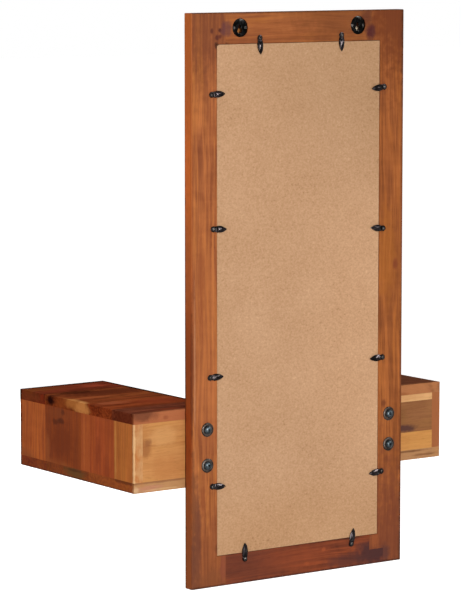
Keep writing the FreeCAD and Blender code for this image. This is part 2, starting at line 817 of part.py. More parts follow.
def make_bolt(label, x, z):
    body = new_body(label, x=x, y=BACK + dims.washer_thick, z=z)
    profile = new_sketch(body, "XY_Plane")
    shank = dims.bolt_diameter / 2
    head = dims.bolt_head / 2
    face = dims.bolt_head_top / 2
    drop = dims.bolt_head_height
    draw_outline(profile, [
        (0, -dims.bolt_length), (shank, -dims.bolt_length), (shank, 0), (head, 0),
        (face, drop, dims.bolt_head_round), (0, drop)])
    revolve(body, profile)
    socket = new_sketch(body, "XZ_Plane", -drop)
    flat = dims.bolt_socket / 2
    corner = flat / math.cos(HEXAGON_HALF_ANGLE)
    half = corner / 2
    draw_outline(socket, [
        (corner, 0), (half, flat), (-half, flat), (-corner, 0), (-half, -flat), (half, -flat)])
    pocket(body, socket, dims.bolt_socket_depth, along_normal=True)
    return body


def make_ring(label, x, y, z, outside, bore, length):
    """A plain ring along +Y, such as a washer or a sleeve."""
    body = new_body(label, x=x, y=y, z=z)
    sketch = new_sketch(body, "XZ_Plane")
    draw_circle(sketch, 0, 0, outside)
    draw_circle(sketch, 0, 0, bore)
    pad(body, sketch, length, backwards=True)
    return body


# Drawers: an inset front, sides let into it, a back in dadoes and a thin bottom in grooves

def make_drawer(side, sign):
    faces = box_faces(sign)
    left_wall, right_wall = ordered(faces["inner_wall"], faces["outer_wall"])
    left = left_wall + dims.drawer_side_gap
    right = right_wall - dims.drawer_side_gap
    run = faces["floor_top"] + dims.drawer_run_gap
    mouth = faces["mouth"]
    rear = faces["back_wall"] - dims.drawer_run_gap
    front_back = mouth + dims.drawer_front_thick
    wall = dims.drawer_wall
    gap = dims.drawer_groove_gap
    groove_low = run + dims.drawer_bottom_raise
    groove_high = groove_low + dims.drawer_bottom_thick
    side_top = run + dims.drawer_side_height
    front_low = faces["floor_top"] + dims.drawer_front_gap
    front_high = faces["ceiling"] - dims.drawer_front_gap

    front = panel(f"{side}_drawer_front", left, right, mouth, front_back, front_low, front_high)
    ease(front, dims.panel_ease, lambda middle: near(middle.y, mouth.value))
    lap_y = front_back - dims.drawer_lap
    laps = new_sketch(front, "XY_Plane")
    draw_rectangle(laps, left, left + wall, lap_y, front_back)
    draw_rectangle(laps, right - wall, right, lap_y, front_back)
    pocket(front, laps, side_top - front_low, along_normal=True)
    groove = new_sketch(front, "XZ_Plane", -front_back)
    draw_rectangle(groove, left + wall, right - wall,
                   groove_low - gap - front_low, groove_high + gap - front_low)
    pocket(front, groove, dims.drawer_groove, along_normal=True)
    knob_x = (left + right) / 2
    knob_z = (front_low + front_high) / 2
    knob_hole = (knob_x, knob_z - front_low, dims.knob_screw_diameter + dims.knob_screw_gap * 2)
    drill(front, "XZ_Plane", -front_back, [knob_hole], dims.drawer_front_thick, along_normal=True)

    back_y = rear - dims.drawer_back_margin
    for name, x, toward in (("left", left, Side.RIGHT), ("right", right - wall, Side.LEFT)):
        body = panel(f"{side}_drawer_{name}_side", x, x + wall, lap_y, rear, run, side_top)
        inner_face = x + wall if toward == Side.RIGHT else x
        groove = new_sketch(body, "YZ_Plane", inner_face)
        draw_rectangle(groove, lap_y, rear, groove_low - gap - run, groove_high + gap - run)
        pocket(body, groove, dims.drawer_groove, along_normal=toward == Side.LEFT)
        dado = new_sketch(body, "YZ_Plane", inner_face)
        draw_rectangle(dado, back_y - wall, back_y, groove_high + gap - run, dims.drawer_side_height)
        pocket(body, dado, dims.drawer_back_dado, along_normal=toward == Side.LEFT)
    dado = dims.drawer_back_dado
    panel(f"{side}_drawer_back", left + wall - dado, right - wall + dado, back_y - wall, back_y,
          groove_high, side_top)
    reach = dims.drawer_groove - gap
    panel(f"{side}_drawer_bottom", left + wall - reach, right - wall + reach, front_back - reach, rear,
          groove_low, groove_high)
    make_knob(side, knob_x, mouth, front_back, knob_z)


def make_knob(side, x, mouth, front_back, z):
    knob = new_body(f"{side}_drawer_knob", x=x, y=mouth, z=z)
    profile = new_sketch(knob, "XY_Plane")
    foot = dims.knob_foot / 2
    neck = dims.knob_neck / 2
    head = dims.knob_diameter / 2
    crown = dims.knob_crown
    face = -dims.knob_length
    rim_front = face + crown
    rim_back = rim_front + dims.knob_rim
    neck_end = -dims.knob_neck_length
    dome = (head * head + crown * crown) / (crown * 2)
    draw_outline(profile, [
        (0, face), (head, rim_front, dome), (head, rim_back), (neck, neck_end), (foot, 0), (0, 0)])
    revolve(knob, profile)
    bore = dims.knob_screw_diameter + dims.thread_gap * 2
    drill(knob, "XZ_Plane", 0, [(0, 0, bore)], dims.knob_screw_bite + dims.knob_screw_gap, along_normal=True)
    screw = new_body(f"{side}_drawer_knob_screw", x=x, y=front_back, z=z)
    profile = new_sketch(screw, "XY_Plane")
    shank = dims.knob_screw_diameter / 2
    head = dims.knob_screw_head / 2
    tip = -(dims.drawer_front_thick + dims.knob_screw_bite)
    crown = dims.knob_screw_head_height
    draw_outline(profile, [
        (0, tip), (shank, tip), (shank, 0), (head, 0), (head, crown / 2), (head / 2, crown), (0, crown)])
    revolve(screw, profile)


# Build everything

for side, sign in SIDES.items():
    make_stile(side, sign)
make_rail("top_rail", True)
make_rail("bottom_rail", False)
make_sheet_in_rebate("mirror_glass", dims.glass_gap, REBATE_FLOOR, dims.glass_thick)
make_backing_board()
for side, sign in SIDES.items():
    make_hanger(side, sign)
make_hanger_screws()
for label, (_, x, height, turn) in BUTTONS.items():
    make_turn_button(label, x, height, turn)
make_button_screws()
for side, sign in SIDES.items():
    make_box(side, sign)
make_bolts()
for side, sign in SIDES.items():
    make_drawer(side, sign)
doc.recompute()


# Check the document, then write one file for each piece

grouped = set()
for item in doc.Objects:
    if item.TypeId == "Part::Compound":
        grouped.update(link.Name for link in item.Links)

for item in doc.Objects:
    if "Invalid" in item.State or "Error" in item.State:
        raise RuntimeError(f"{item.Label} failed: {item.State}")
    if item.TypeId == "PartDesign::Pocket":
        before = item.BaseFeature.Shape.Volume
        if item.Shape.Volume > before - LEAST_CUT:
            raise RuntimeError(f"{item.Label} cuts nothing")

os.makedirs("parts", exist_ok=True)
written = 0
for item in doc.Objects:
    is_piece = item.TypeId in ("PartDesign::Body", "Part::Compound") and item.Name not in grouped
    if not is_piece:
        continue
    if item.Shape.isNull() or not item.Shape.isValid():
        raise RuntimeError(f"{item.Label} has no valid shape")
    item.Shape.exportStep(f"parts/{item.Label}.step")
    written += 1
print(written, "pieces written")
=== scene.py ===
# %% [markdown]
# # A wall mirror with two drawer boxes, seen from behind
#
# The real object is a tall mirror in a solid acacia frame. Twelve black turn buttons hold a hardboard back
# over the glass, two keyhole hangers carry the whole thing on wall screws, and a drawer box is bolted to
# the front of each stile. The CAD model already has every board and fitting in its true place, so this
# lesson adds what the eye looks for: wood with its staves, knots and pores, pressed black steel, screws
# with a recess for the driver.

# %% Load the CAD model as a fixed frame
import json
import math
import random
from collections import namedtuple

import bmesh
import bpy
from mathutils import Matrix, Vector


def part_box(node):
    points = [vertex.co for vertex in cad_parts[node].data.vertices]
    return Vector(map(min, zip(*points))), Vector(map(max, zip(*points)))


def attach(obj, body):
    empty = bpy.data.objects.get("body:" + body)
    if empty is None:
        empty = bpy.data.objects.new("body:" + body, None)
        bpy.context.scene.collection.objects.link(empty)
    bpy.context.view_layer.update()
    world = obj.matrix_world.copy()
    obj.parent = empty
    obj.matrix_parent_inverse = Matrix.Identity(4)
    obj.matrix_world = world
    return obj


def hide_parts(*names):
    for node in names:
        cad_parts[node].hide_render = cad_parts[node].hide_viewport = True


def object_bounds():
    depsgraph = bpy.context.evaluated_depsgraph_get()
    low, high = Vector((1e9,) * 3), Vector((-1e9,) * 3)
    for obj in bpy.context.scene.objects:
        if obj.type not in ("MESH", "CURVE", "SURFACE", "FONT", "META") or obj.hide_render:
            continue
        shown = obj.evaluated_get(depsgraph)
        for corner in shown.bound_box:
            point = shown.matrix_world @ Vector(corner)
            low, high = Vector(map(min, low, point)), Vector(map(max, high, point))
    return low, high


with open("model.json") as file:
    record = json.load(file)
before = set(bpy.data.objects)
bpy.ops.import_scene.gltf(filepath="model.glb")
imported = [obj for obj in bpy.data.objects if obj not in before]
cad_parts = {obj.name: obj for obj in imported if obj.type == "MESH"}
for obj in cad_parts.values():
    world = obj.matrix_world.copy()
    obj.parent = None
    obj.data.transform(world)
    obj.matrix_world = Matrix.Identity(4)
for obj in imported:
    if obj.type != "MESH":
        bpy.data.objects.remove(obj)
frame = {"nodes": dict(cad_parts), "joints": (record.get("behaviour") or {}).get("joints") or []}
nodes = frame["nodes"]
cad_low, cad_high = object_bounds()
MM = 0.001
X, Y, Z = 0, 1, 2
print("CAD pieces:", len(nodes), "size in mm:", [round(side / MM, 1) for side in cad_high - cad_low])

# %% [markdown]
# ## Colours and nodes
#
# A colour here is an sRGB hex value, but shader sockets take linear light, so one function turns
# the first into the second. A material is a graph of nodes, and one small function adds a node: its
# settings by name, its sockets as plain values or as links, and the stops of a ramp. With that, each
# finish below reads as a recipe.

# %% Colours
def paint(code):
    """An sRGB hex colour as the linear RGBA that a socket takes."""
    channels = [int(code[start:start + 2], 16) / 255 for start in (1, 3, 5)]
    linear = [c / 12.92 if c <= 0.04045 else ((c + 0.055) / 1.055) ** 2.4 for c in channels]
    return (*linear, 1.0)


print("linear mid grey:", [round(value, 3) for value in paint("#808080")[:3]])

# %% Nodes and finishes
def add_node(material, kind, inputs=None, stops=(), steps=False, **settings):
    """Add a node to a material; an input is a plain value or the output that feeds it."""
    node = material.node_tree.nodes.new(kind)
    for name, value in settings.items():
        setattr(node, name, value)
    for socket, value in (inputs or {}).items():
        if isinstance(value, bpy.types.NodeSocket):
            material.node_tree.links.new(value, node.inputs[socket])
        else:
            node.inputs[socket].default_value = value
    if stops:
        ramp = node.color_ramp
        ramp.interpolation = "CONSTANT" if steps else "EASE"
        while len(ramp.elements) > 1:
            ramp.elements.remove(ramp.elements[-1])
        ramp.elements[0].position = stops[0][0]
        ramp.elements[0].color = stops[0][1]
        for position, colour in stops[1:]:
            ramp.elements.new(position).color = colour
    return node


def new_finish(name, **sockets):
    """A material with its one shader, whose named sockets are set to plain values."""
    material = bpy.data.materials.new(name)
    material.use_nodes = True
    shader = material.node_tree.nodes["Principled BSDF"]
    for socket, value in sockets.items():
        shader.inputs[socket.replace("_", " ")].default_value = value
    return material, shader


def dress(node, material):
    """Give a CAD node its finish; the node itself stays as it is."""
    nodes[node].data.materials.clear()
    nodes[node].data.materials.append(material)


print("materials before dressing:", len(bpy.data.materials))

# %% [markdown]
# ## Acacia, sawn into staves and lacquered
#
# Acacia heartwood runs from honey to dark plum within one plank, so a maker glues narrow staves edge to
# edge and each keeps its own tone. A scanned picture of wood could be laid over the boards, but it would
# repeat, and it would turn round a corner as no plank does. Here a board is described the way it is made:
# the direction of its grain, the width and tones of each stave, and the knots and odd patches in it. Every
# tone is a place in the solid wood, so a knot goes through from one face to the next.

# %% What a board is made of
# A stave has a light and a dark tone, a warmer flush and, where it has one, a tone that paints shade,
# or where it is pale a highlight, on its eased edges.
Stave = namedtuple("Stave", "width light dark flush arris", defaults=("#b8702f", None))
# A patch is an ellipsoid of another tone, in millimetres in the frame: a knot, sapwood, a stain, painted
# shade along an edge or in a pocket, a painted highlight.
Patch = namedtuple("Patch", "centre radii colour strength")
TONES = {
    "honey": ("#cc9058", "#b07540"),
    "orange": ("#bb6a3a", "#9a4f28"),
    "chestnut": ("#a86b42", "#845030"),
    "russet": ("#a9522c", "#863c1e"),
    "umber": ("#86442a", "#5f2c19"),
}
# Painted shade on the eased edges of the frame's boards.
ARRIS_PAINTED_SHADE = "#3c2216"


def stave(width, tone):
    """A stave in one of the common tones, flushed with its own light tone."""
    light, dark = TONES[tone]
    return Stave(width, light, dark, light)


print("acacia tones:", ", ".join(TONES))

# %% [markdown]
# ### Grain
#
# Grain is long fibre, so noise that is stretched along the fibre draws it. Five kinds of it lie over each
# other: streaks, blotches, a faint ripple across the fibre, a warmer flush here and there, and the open
# pores as short dark dashes. Real pores are about 0.3 mm wide, too fine to show here, so they are drawn
# 1.4 mm wide. The noise jumps at each glue line, so that no streak runs on into the next stave, and its
# place drifts slowly sideways, because no tree grows straight.

# %% Five kinds of grain
# A grain has a size across and along the fibre in millimetres, the most that it may change the tone, how
# fine and how wavy its noise is, and the stretch of the noise that it uses.
Grain = namedtuple("Grain", "across along most detail distortion start end")
STREAK = Grain(4.4, 170, 0.52, 3, 0.0, 0.39, 0.61)
BLOTCH = Grain(30, 110, 0.36, 2, 0.6, 0.36, 0.64)
RIPPLE = Grain(70, 15, 0.12, 2, 0.4, 0.36, 0.64)
FLUSH = Grain(26, 190, 0.55, 3, 0.8, 0.46, 0.7)
PORE = Grain(1.4, 18, 0.24, 2, 0.0, 0.56, 0.76)
# The size of the sideways drift across and along the fibre, and how far it pushes, in millimetres.
DRIFT_ACROSS, DRIFT_ALONG, DRIFT = 60, 340, 26
# How far apart, in metres, the noise of two staves may lie.
STAVE_JUMP = (3.1, 4.7, 5.9)


def fibre_noise(material, place, fibre, across, along, detail=2, distortion=0.0):
    """Noise with a size across the fibre and one along it, in millimetres."""
    pitch = [1 / (across * MM)] * 3
    pitch[fibre] = 1 / (along * MM)
    stretched = add_node(
        material, "ShaderNodeVectorMath", {0: place, 1: pitch}, operation="MULTIPLY").outputs[0]
    return add_node(material, "ShaderNodeTexNoise", {
        "Vector": stretched, "Scale": 1.0, "Detail": detail, "Distortion": distortion}).outputs


def grain_share(material, place, fibre, grain):
    """One kind of grain as a share of the tone, from 0 to the most that it may take."""
    noise = fibre_noise(
        material, place, fibre, grain.across, grain.along, grain.detail, grain.distortion)[0]
    return add_node(material, "ShaderNodeMapRange", {
        "Value": noise, "From Min": grain.start, "From Max": grain.end, "To Max": grain.most}).outputs[0]


print("streaks", STREAK.across, "mm apart, pores", PORE.across, "mm wide")

# %% [markdown]
# ### Knots and patches
#
# A knot or a stain has no sharp outline. It could be painted by hand, but paint would lie on one face
# only, so a patch is a place in the wood that fades out over its radii, and noise makes its rim ragged.

# %% Patches
# A patch fades from its core to its rim, as shares of its radii, once the ragged noise is added.
PATCH_RIM, PATCH_CORE = 1.45, 0.75
RAGGED_SIZE, RAGGED_SHARE = 14, 0.9
# Sockets of a node that mixes two colours: the share, the colour below, the one above and the result.
SHARE, BELOW, ABOVE, MIXED = 0, 6, 7, 2


def reach_from(material, place, centre, radii):
    """How far a place is from a centre, as a share of radii in millimetres."""
    within = add_node(material, "ShaderNodeMapping", {
        "Vector": place, "Location": [value * MM for value in centre],
        "Scale": [radius * MM for radius in radii]}, vector_type="TEXTURE").outputs[0]
    return add_node(material, "ShaderNodeVectorMath", {0: within}, operation="LENGTH").outputs[1]


def with_patches(material, place, colour, patches):
    """A colour with each patch laid over it in turn."""
    ragged = add_node(material, "ShaderNodeTexNoise", {
        "Vector": place, "Scale": 1 / (RAGGED_SIZE * MM), "Detail": 3.0}).outputs[0]
    for patch in patches:
        reach = reach_from(material, place, patch.centre, patch.radii)
        reach = add_node(material, "ShaderNodeMath", {
            0: ragged, 1: RAGGED_SHARE, 2: reach}, operation="MULTIPLY_ADD").outputs[0]
        amount = add_node(material, "ShaderNodeMapRange", {
            "Value": reach, "From Min": PATCH_RIM, "From Max": PATCH_CORE, "To Max": patch.strength},
            interpolation_type="SMOOTHSTEP").outputs[0]
        colour = add_node(material, "ShaderNodeMix", {
            SHARE: amount, BELOW: colour, ABOVE: paint(patch.colour)}, data_type="RGBA").outputs[MIXED]
    return colour


# The noise is a half on average.
half_reach = (PATCH_RIM + PATCH_CORE - RAGGED_SHARE) / 2
print("a patch is at half strength at", round(half_reach, 2), "of its radii")

# %% [markdown]
# ### End grain and eased edges
#
# End grain drinks more lacquer and looks darker. On the sanded arris between two faces, a tone paints the
# light that a rounded edge misses or catches: painted shade on most staves, a painted highlight on one.
# A strip of mesh along each edge could carry that tone, but the boards of the CAD model are already
# eased, so both are found from the way a face points, and no geometry is added.

# %% End grain and edges
END_GRAIN_SHADE = "#dcc9bb"
# How squarely a face points along an axis, where an effect starts and where it is full.
END_FACING = (0.6, 0.9)
PAINTED_ARRIS_FACING = (0.98, 0.9)
# The most that the painted light or shade takes over an eased edge.
PAINTED_ARRIS_SHARE = 0.9
# A clear colour, for the staves whose eased edges get no painted light or shade.
NO_PAINTED_ARRIS = (0, 0, 0, 0)


def with_end_grain_and_painted_arris(material, normal, fibre, colour, arris):
    """A colour with darker end grain and, on staves that have it, painted light or shade on eased edges."""
    facing = add_node(material, "ShaderNodeVectorMath", {0: normal}, operation="ABSOLUTE").outputs[0]
    facing = add_node(material, "ShaderNodeSeparateXYZ", {"Vector": facing}).outputs
    ends = add_node(material, "ShaderNodeMapRange", {
        "Value": facing[fibre], "From Min": END_FACING[0], "From Max": END_FACING[1]}).outputs[0]
    colour = add_node(material, "ShaderNodeMix", {
        SHARE: ends, BELOW: colour, ABOVE: paint(END_GRAIN_SHADE)},
        data_type="RGBA", blend_type="MULTIPLY").outputs[MIXED]
    squareness = facing[X]
    for axis in (Y, Z):
        squareness = add_node(material, "ShaderNodeMath", {
            0: squareness, 1: facing[axis]}, operation="MAXIMUM").outputs[0]
    painted_arris_amount = add_node(material, "ShaderNodeMapRange", {
        "Value": squareness, "From Min": PAINTED_ARRIS_FACING[0], "From Max": PAINTED_ARRIS_FACING[1],
        "To Max": PAINTED_ARRIS_SHARE}).outputs[0]
    painted_arris_amount = add_node(material, "ShaderNodeMath", {
        0: painted_arris_amount, 1: arris["Alpha"]}, operation="MULTIPLY").outputs[0]
    return add_node(material, "ShaderNodeMix", {
        SHARE: painted_arris_amount, BELOW: colour, ABOVE: arris["Color"]}, data_type="RGBA").outputs[MIXED]


eased_tilt = math.degrees(math.acos(PAINTED_ARRIS_FACING[1]))
print("an eased edge has its full tone where it tilts", round(eased_tilt), "degrees from every face")

# %% [markdown]
# ### The recipe for one board
#
# A ramp with hard steps picks the stave from the place across the board. The five grains decide where each
# stave is light, dark or flushed, the patches and pores come next, and the end grain and the painted light
# and shade of the eased edges last. A thin satin lacquer lies on top: a low sheen that breaks up along the
# streaks, with the pores as small dents in it.

# %% Lacquered acacia
PORE_SHADE = "#8a5a45"
# How deep the dents are in millimetres, and how strongly they show.
PORE_DEPTH, PORE_RELIEF = 0.3, 0.35
SHEEN_ROUGHNESS = (0.5, 0.65)
SATIN = 0.03


def stave_ramp(material, place, low, high, staves, colours):
    """A colour for each stave, with a hard step at each glue line."""
    share = add_node(material, "ShaderNodeMapRange", {
        "Value": place, "From Min": low, "From Max": high}).outputs[0]
    total = sum(each.width for each in staves)
    starts = [sum(each.width for each in staves[:count]) / total for count in range(len(staves))]
    stops = list(zip(starts, colours))
    return add_node(material, "ShaderNodeValToRGB", {"Fac": share}, stops, steps=True).outputs


def acacia(node, fibre, across, staves, patches=(), satin=SATIN):
    """Lacquered acacia: gives the eye a plank with grain, glue lines and knots under a low sheen."""
    low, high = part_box(node)
    material, shader = new_finish(f"lacquered_acacia_{node}", Specular_IOR_Level=satin)
    links = material.node_tree.links
    sources = add_node(material, "ShaderNodeTexCoord").outputs
    place = sources["Object"]
    place_across = add_node(material, "ShaderNodeSeparateXYZ", {"Vector": place}).outputs[across]

    def by_stave(colours):
        """The ramp across this board, with one colour for each stave."""
        return stave_ramp(material, place_across, low[across], high[across], staves, colours)

    chance = random.Random(node)
    jump = by_stave([(chance.random(), chance.random(), chance.random(), 1) for _ in staves])["Color"]
    fibre_place = add_node(material, "ShaderNodeVectorMath", {
        0: jump, 1: STAVE_JUMP, 2: place}, operation="MULTIPLY_ADD").outputs[0]
    drift = fibre_noise(material, fibre_place, fibre, DRIFT_ACROSS, DRIFT_ALONG)["Color"]
    fibre_place = add_node(material, "ShaderNodeVectorMath", {
        0: drift, 1: [DRIFT * MM] * 3, 2: fibre_place}, operation="MULTIPLY_ADD").outputs[0]
    streak, blotch, ripple, warmth, pores = [
        grain_share(material, fibre_place, fibre, grain) for grain in (STREAK, BLOTCH, RIPPLE, FLUSH, PORE)]
    lightness = streak
    for layer in (blotch, ripple):
        lightness = add_node(material, "ShaderNodeMath", {
            0: lightness, 1: layer}, operation="ADD").outputs[0]

    light = by_stave([paint(each.light) for each in staves])["Color"]
    dark = by_stave([paint(each.dark) for each in staves])["Color"]
    flush = by_stave([paint(each.flush) for each in staves])["Color"]
    # Each stave's tone for its eased edges: painted shade on most, a painted highlight on one.
    arris = by_stave([paint(each.arris) if each.arris else NO_PAINTED_ARRIS for each in staves])
    light = add_node(material, "ShaderNodeMix", {
        SHARE: warmth, BELOW: light, ABOVE: flush}, data_type="RGBA").outputs[MIXED]
    colour = add_node(material, "ShaderNodeMix", {
        SHARE: lightness, BELOW: dark, ABOVE: light}, data_type="RGBA").outputs[MIXED]
    colour = with_patches(material, place, colour, patches)
    colour = add_node(material, "ShaderNodeMix", {
        SHARE: pores, BELOW: colour, ABOVE: paint(PORE_SHADE)},
        data_type="RGBA", blend_type="MULTIPLY").outputs[MIXED]
    links.new(with_end_grain_and_painted_arris(material, sources["Normal"], fibre, colour, arris), shader.inputs["Base Color"])

    sheen = add_node(material, "ShaderNodeMapRange", {
        "Value": streak, "From Max": STREAK.most,
        "To Min": SHEEN_ROUGHNESS[0], "To Max": SHEEN_ROUGHNESS[1]}).outputs[0]
    links.new(sheen, shader.inputs["Roughness"])
    relief = add_node(material, "ShaderNodeBump", {
        "Height": pores, "Strength": PORE_RELIEF, "Distance": PORE_DEPTH * MM}, invert=True).outputs[0]
    links.new(relief, shader.inputs["Normal"])
    dress(node, material)


print("lacquer with a roughness of", SHEEN_ROUGHNESS[0], "to", SHEEN_ROUGHNESS[1])

# %% [markdown]
# ## The frame's stiles
#
# Each board of the frame is one plank, so its grain runs along its length. All four could share one
# finish, but the eye knows this frame by its marks, so each board has its own list of them. The right
# stile has small knots round the upper corner of the backing board, and its outer edge is orange above and
# red-brown below, drawn as a strip three millimetres deep. The left stile is darker towards both ends.

# %% Dress the stiles
def in_mm(length):
    """A length of the CAD model in millimetres, to the thousandth."""
    return round(length / MM, 3)


EDGE_STRIP = 3
stile_low, stile_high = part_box("right_stile")
BOARD_WIDTH = in_mm(stile_high.x - stile_low.x)
# Places that many marks share: the back face, the head and the foot of the frame.
BACK_FACE, HEAD, FOOT = in_mm(stile_high.y), in_mm(stile_high.z), in_mm(stile_low.z)
# The wide stave has painted shade on its eased edges.
acacia("right_stile", Z, X, [
    Stave(BOARD_WIDTH - EDGE_STRIP, "#be713e", "#7f4225", "#c07634", ARRIS_PAINTED_SHADE),
    Stave(EDGE_STRIP, "#a85628", "#84401f", "#b0602c")], [
    # Broad shades on the back face
    Patch((211, BACK_FACE, 70), (140, 60, 250), "#6f3a23", 0.6),
    Patch((211, BACK_FACE, -500), (60, 30, 160), "#a86036", 0.35),
    Patch((227, BACK_FACE, -470), (9, 30, 160), "#8c4726", 0.5),
    Patch((201, BACK_FACE, -500), (5, 30, 260), "#c87a42", 0.4),
    Patch((209, BACK_FACE, -772), (3, 30, 34), "#7c3f22", 0.55),
    Patch((224, BACK_FACE, -880), (7, 30, 38), "#8a4426", 0.55),
    Patch((211, BACK_FACE, -700), (60, 30, 150), "#ac6338", 0.35),
    Patch((211, BACK_FACE, -1080), (140, 60, 250), "#84482a", 0.5),
    Patch((237, BACK_FACE, -970), (11, 30, 200), "#653a2c", 0.65),
    # Knots round the corner of the backing board
    Patch((185, BACK_FACE, 2), (6, 30, 6), "#4a211c", 0.9),
    Patch((192, BACK_FACE, -12), (6, 30, 8), "#54271f", 0.85),
    Patch((184, BACK_FACE, -10), (7, 30, 5), "#5c2a20", 0.8),
    Patch((203, BACK_FACE, 0), (5, 30, 7), "#54271f", 0.8),
    Patch((174, BACK_FACE, 3), (13, 30, 18), "#5e3638", 0.75),
    Patch((193, BACK_FACE, -26), (6, 30, 9), "#3f2014", 0.85),
    # Outer edge, then the arris beside it, with a painted dark line and a painted highlight line along it
    Patch((251.5, -9.5, -60), (5, 200, 430), "#c06530", 0.95),
    Patch((251.5, -9.5, -270), (5, 200, 190), "#d56d32", 0.8),
    Patch((251.5, -9.5, -450), (5, 200, 150), "#b85f2f", 0.8),
    Patch((251.5, -9.5, -960), (5, 200, 300), "#975029", 0.8),
    Patch((251.5, -9.5, -650), (5, 200, 230), "#9c471e", 0.75),
    Patch((250, BACK_FACE, -150), (3.5, 3.5, 620), "#a25c30", 0.85),
    Patch((249, BACK_FACE, -640), (4.5, 5, 210), "#6a341a", 0.85),
    Patch((242.5, BACK_FACE, -630), (2.6, 5, 210), "#bd835c", 0.55),
    Patch((246, BACK_FACE, -900), (7, 5, 170), "#7a4528", 0.75),
    Patch((246, BACK_FACE, -1010), (9, 5, 110), "#6c3e2c", 0.75),
    # Painted shade along the front arris, stains at the foot, and painted shade along its lower edge
    Patch((251.5, -20.5, -750), (5, 7, 1000), "#40200f", 0.75),
    Patch((205, BACK_FACE, -1040), (60, 30, 42), "#7c4529", 0.6),
    Patch((178, BACK_FACE, -1012), (10, 30, 44), "#8a4733", 0.65),
    Patch((190, BACK_FACE, -974), (9, 30, 14), "#693820", 0.7),
    Patch((211, BACK_FACE, FOOT), (90, 9, 6), "#45220f", 0.75),
])
# Both staves have painted shade on their eased edges.
acacia("left_stile", Z, X, [
    Stave(EDGE_STRIP, "#a35c34", "#874525", "#a35c34", "#4a2415"),
    Stave(BOARD_WIDTH - EDGE_STRIP, "#b36834", "#7c4221", "#ae642a", ARRIS_PAINTED_SHADE)], [
    # Broad shades on the back face
    Patch((-235, BACK_FACE, 70), (140, 60, 240), "#6c3318", 0.85),
    Patch((-215, BACK_FACE, -1080), (140, 60, 330), "#753c29", 0.75),
    Patch((-212, BACK_FACE, -440), (30, 30, 130), "#ab6426", 0.5),
    # Small knots, then stains at the corners and the foot
    Patch((-232, BACK_FACE, -459), (9, 30, 14), "#7a3823", 0.7),
    Patch((-206, BACK_FACE, -730), (8, 30, 13), "#693420", 0.75),
    Patch((-172, BACK_FACE, -9), (12, 30, 20), "#4c2323", 0.85),
    Patch((-185, BACK_FACE, -1000), (15, 30, 20), "#98532f", 0.75),
    Patch((-212, BACK_FACE, -1026), (16, 30, 24), "#523230", 0.7),
    # Painted shade along the outer and lower arris
    Patch((-250, BACK_FACE, -500), (8, 6, 1600), "#64371f", 0.6),
    Patch((-250, BACK_FACE, 40), (9, 6, 260), "#3c1a0e", 0.6),
    Patch((-250, BACK_FACE, -1050), (9, 6, 260), "#3c2014", 0.5),
    Patch((-211, BACK_FACE, FOOT), (90, 9, 6), "#3a1c14", 0.75),
])
print("stiles dressed, with an edge strip of", EDGE_STRIP, "mm")

# %% [markdown]
# ## The frame's rails
#
# The rails run from stile to stile, so their grain lies level. They could repeat the stiles' finish on its
# side, but they have marks of their own: a plum stain at the other upper corner of the backing board, and
# a dark lap at the left end of the bottom rail. Painted shade darkens the wood behind the hangers, apart
# from a paler spot under each keyhole.

# %% Dress the rails
hanger_low, hanger_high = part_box("right_hanger")
HANGER_X = in_mm((hanger_low.x + hanger_high.x) / 2)
HANGER_Z = in_mm((hanger_low.z + hanger_high.z) / 2)
# About where the pockets behind the hangers end, and how far beside its middle the eye meets that floor.
POCKET_FLOOR, SEEN_ASIDE = -11, 7
# Its stave has painted shade on its eased edges.
acacia("top_rail", X, Z, [Stave(BOARD_WIDTH, "#ac6536", "#854826", "#ad682c", ARRIS_PAINTED_SHADE)], [
    # Painted shade along the upper arris, and the darker left half
    Patch((0, BACK_FACE, HEAD), (260, 30, 5), "#6a3a22", 0.6),
    Patch((-110, BACK_FACE, HEAD), (190, 40, 110), "#74401f", 0.55),
    # Stains towards both ends
    Patch((-158, BACK_FACE, 16), (22, 30, 26), "#5c2c1e", 0.65),
    Patch((-170, BACK_FACE, -8), (18, 30, 20), "#4e2020", 0.95),
    Patch((178, BACK_FACE, -23), (20, 30, 4), "#47241a", 0.8),
    Patch((166, BACK_FACE, 5), (13, 30, 20), "#653a36", 0.75),
    Patch((120, BACK_FACE, -30), (50, 30, 14), "#8a4a2c", 0.5),
    # Painted shade in the pockets behind the hangers, and a paler spot under each keyhole
    Patch((HANGER_X, POCKET_FLOOR, HANGER_Z), (24, 12, 24), "#3c1c12", 0.95),
    Patch((-HANGER_X, POCKET_FLOOR, HANGER_Z), (24, 12, 24), "#3c1c12", 0.95),
    Patch((HANGER_X - SEEN_ASIDE, POCKET_FLOOR, -3), (10, 14, 8), "#c07c40", 0.95),
    Patch((-HANGER_X - SEEN_ASIDE, POCKET_FLOOR, -3), (10, 14, 8), "#e8d2b4", 0.95),
])
# Its stave has painted shade on its eased edges.
acacia("bottom_rail", X, Z, [Stave(BOARD_WIDTH, "#984a2a", "#582b1c", "#984824", ARRIS_PAINTED_SHADE)], [
    # Shades, the lap, two small flecks, and painted shade along the lower arris
    Patch((120, BACK_FACE, -1010), (130, 40, 80), "#673526", 0.6),
    Patch((-182, BACK_FACE, -1024), (66, 30, 36), "#482b2a", 0.95),
    Patch((-120, BACK_FACE, -1032), (70, 30, 20), "#55302a", 0.7),
    Patch((10, BACK_FACE, -1010), (110, 40, 34), "#894226", 0.5),
    Patch((-20, BACK_FACE, -1026), (8, 20, 5), "#a3502a", 0.6),
    Patch((-60, BACK_FACE, -1004), (7, 20, 5), "#a3502a", 0.6),
    Patch((0, BACK_FACE, FOOT), (400, 9, 5), "#401d14", 0.75),
])
print("rails dressed, with hangers", HANGER_X, "mm from the middle")
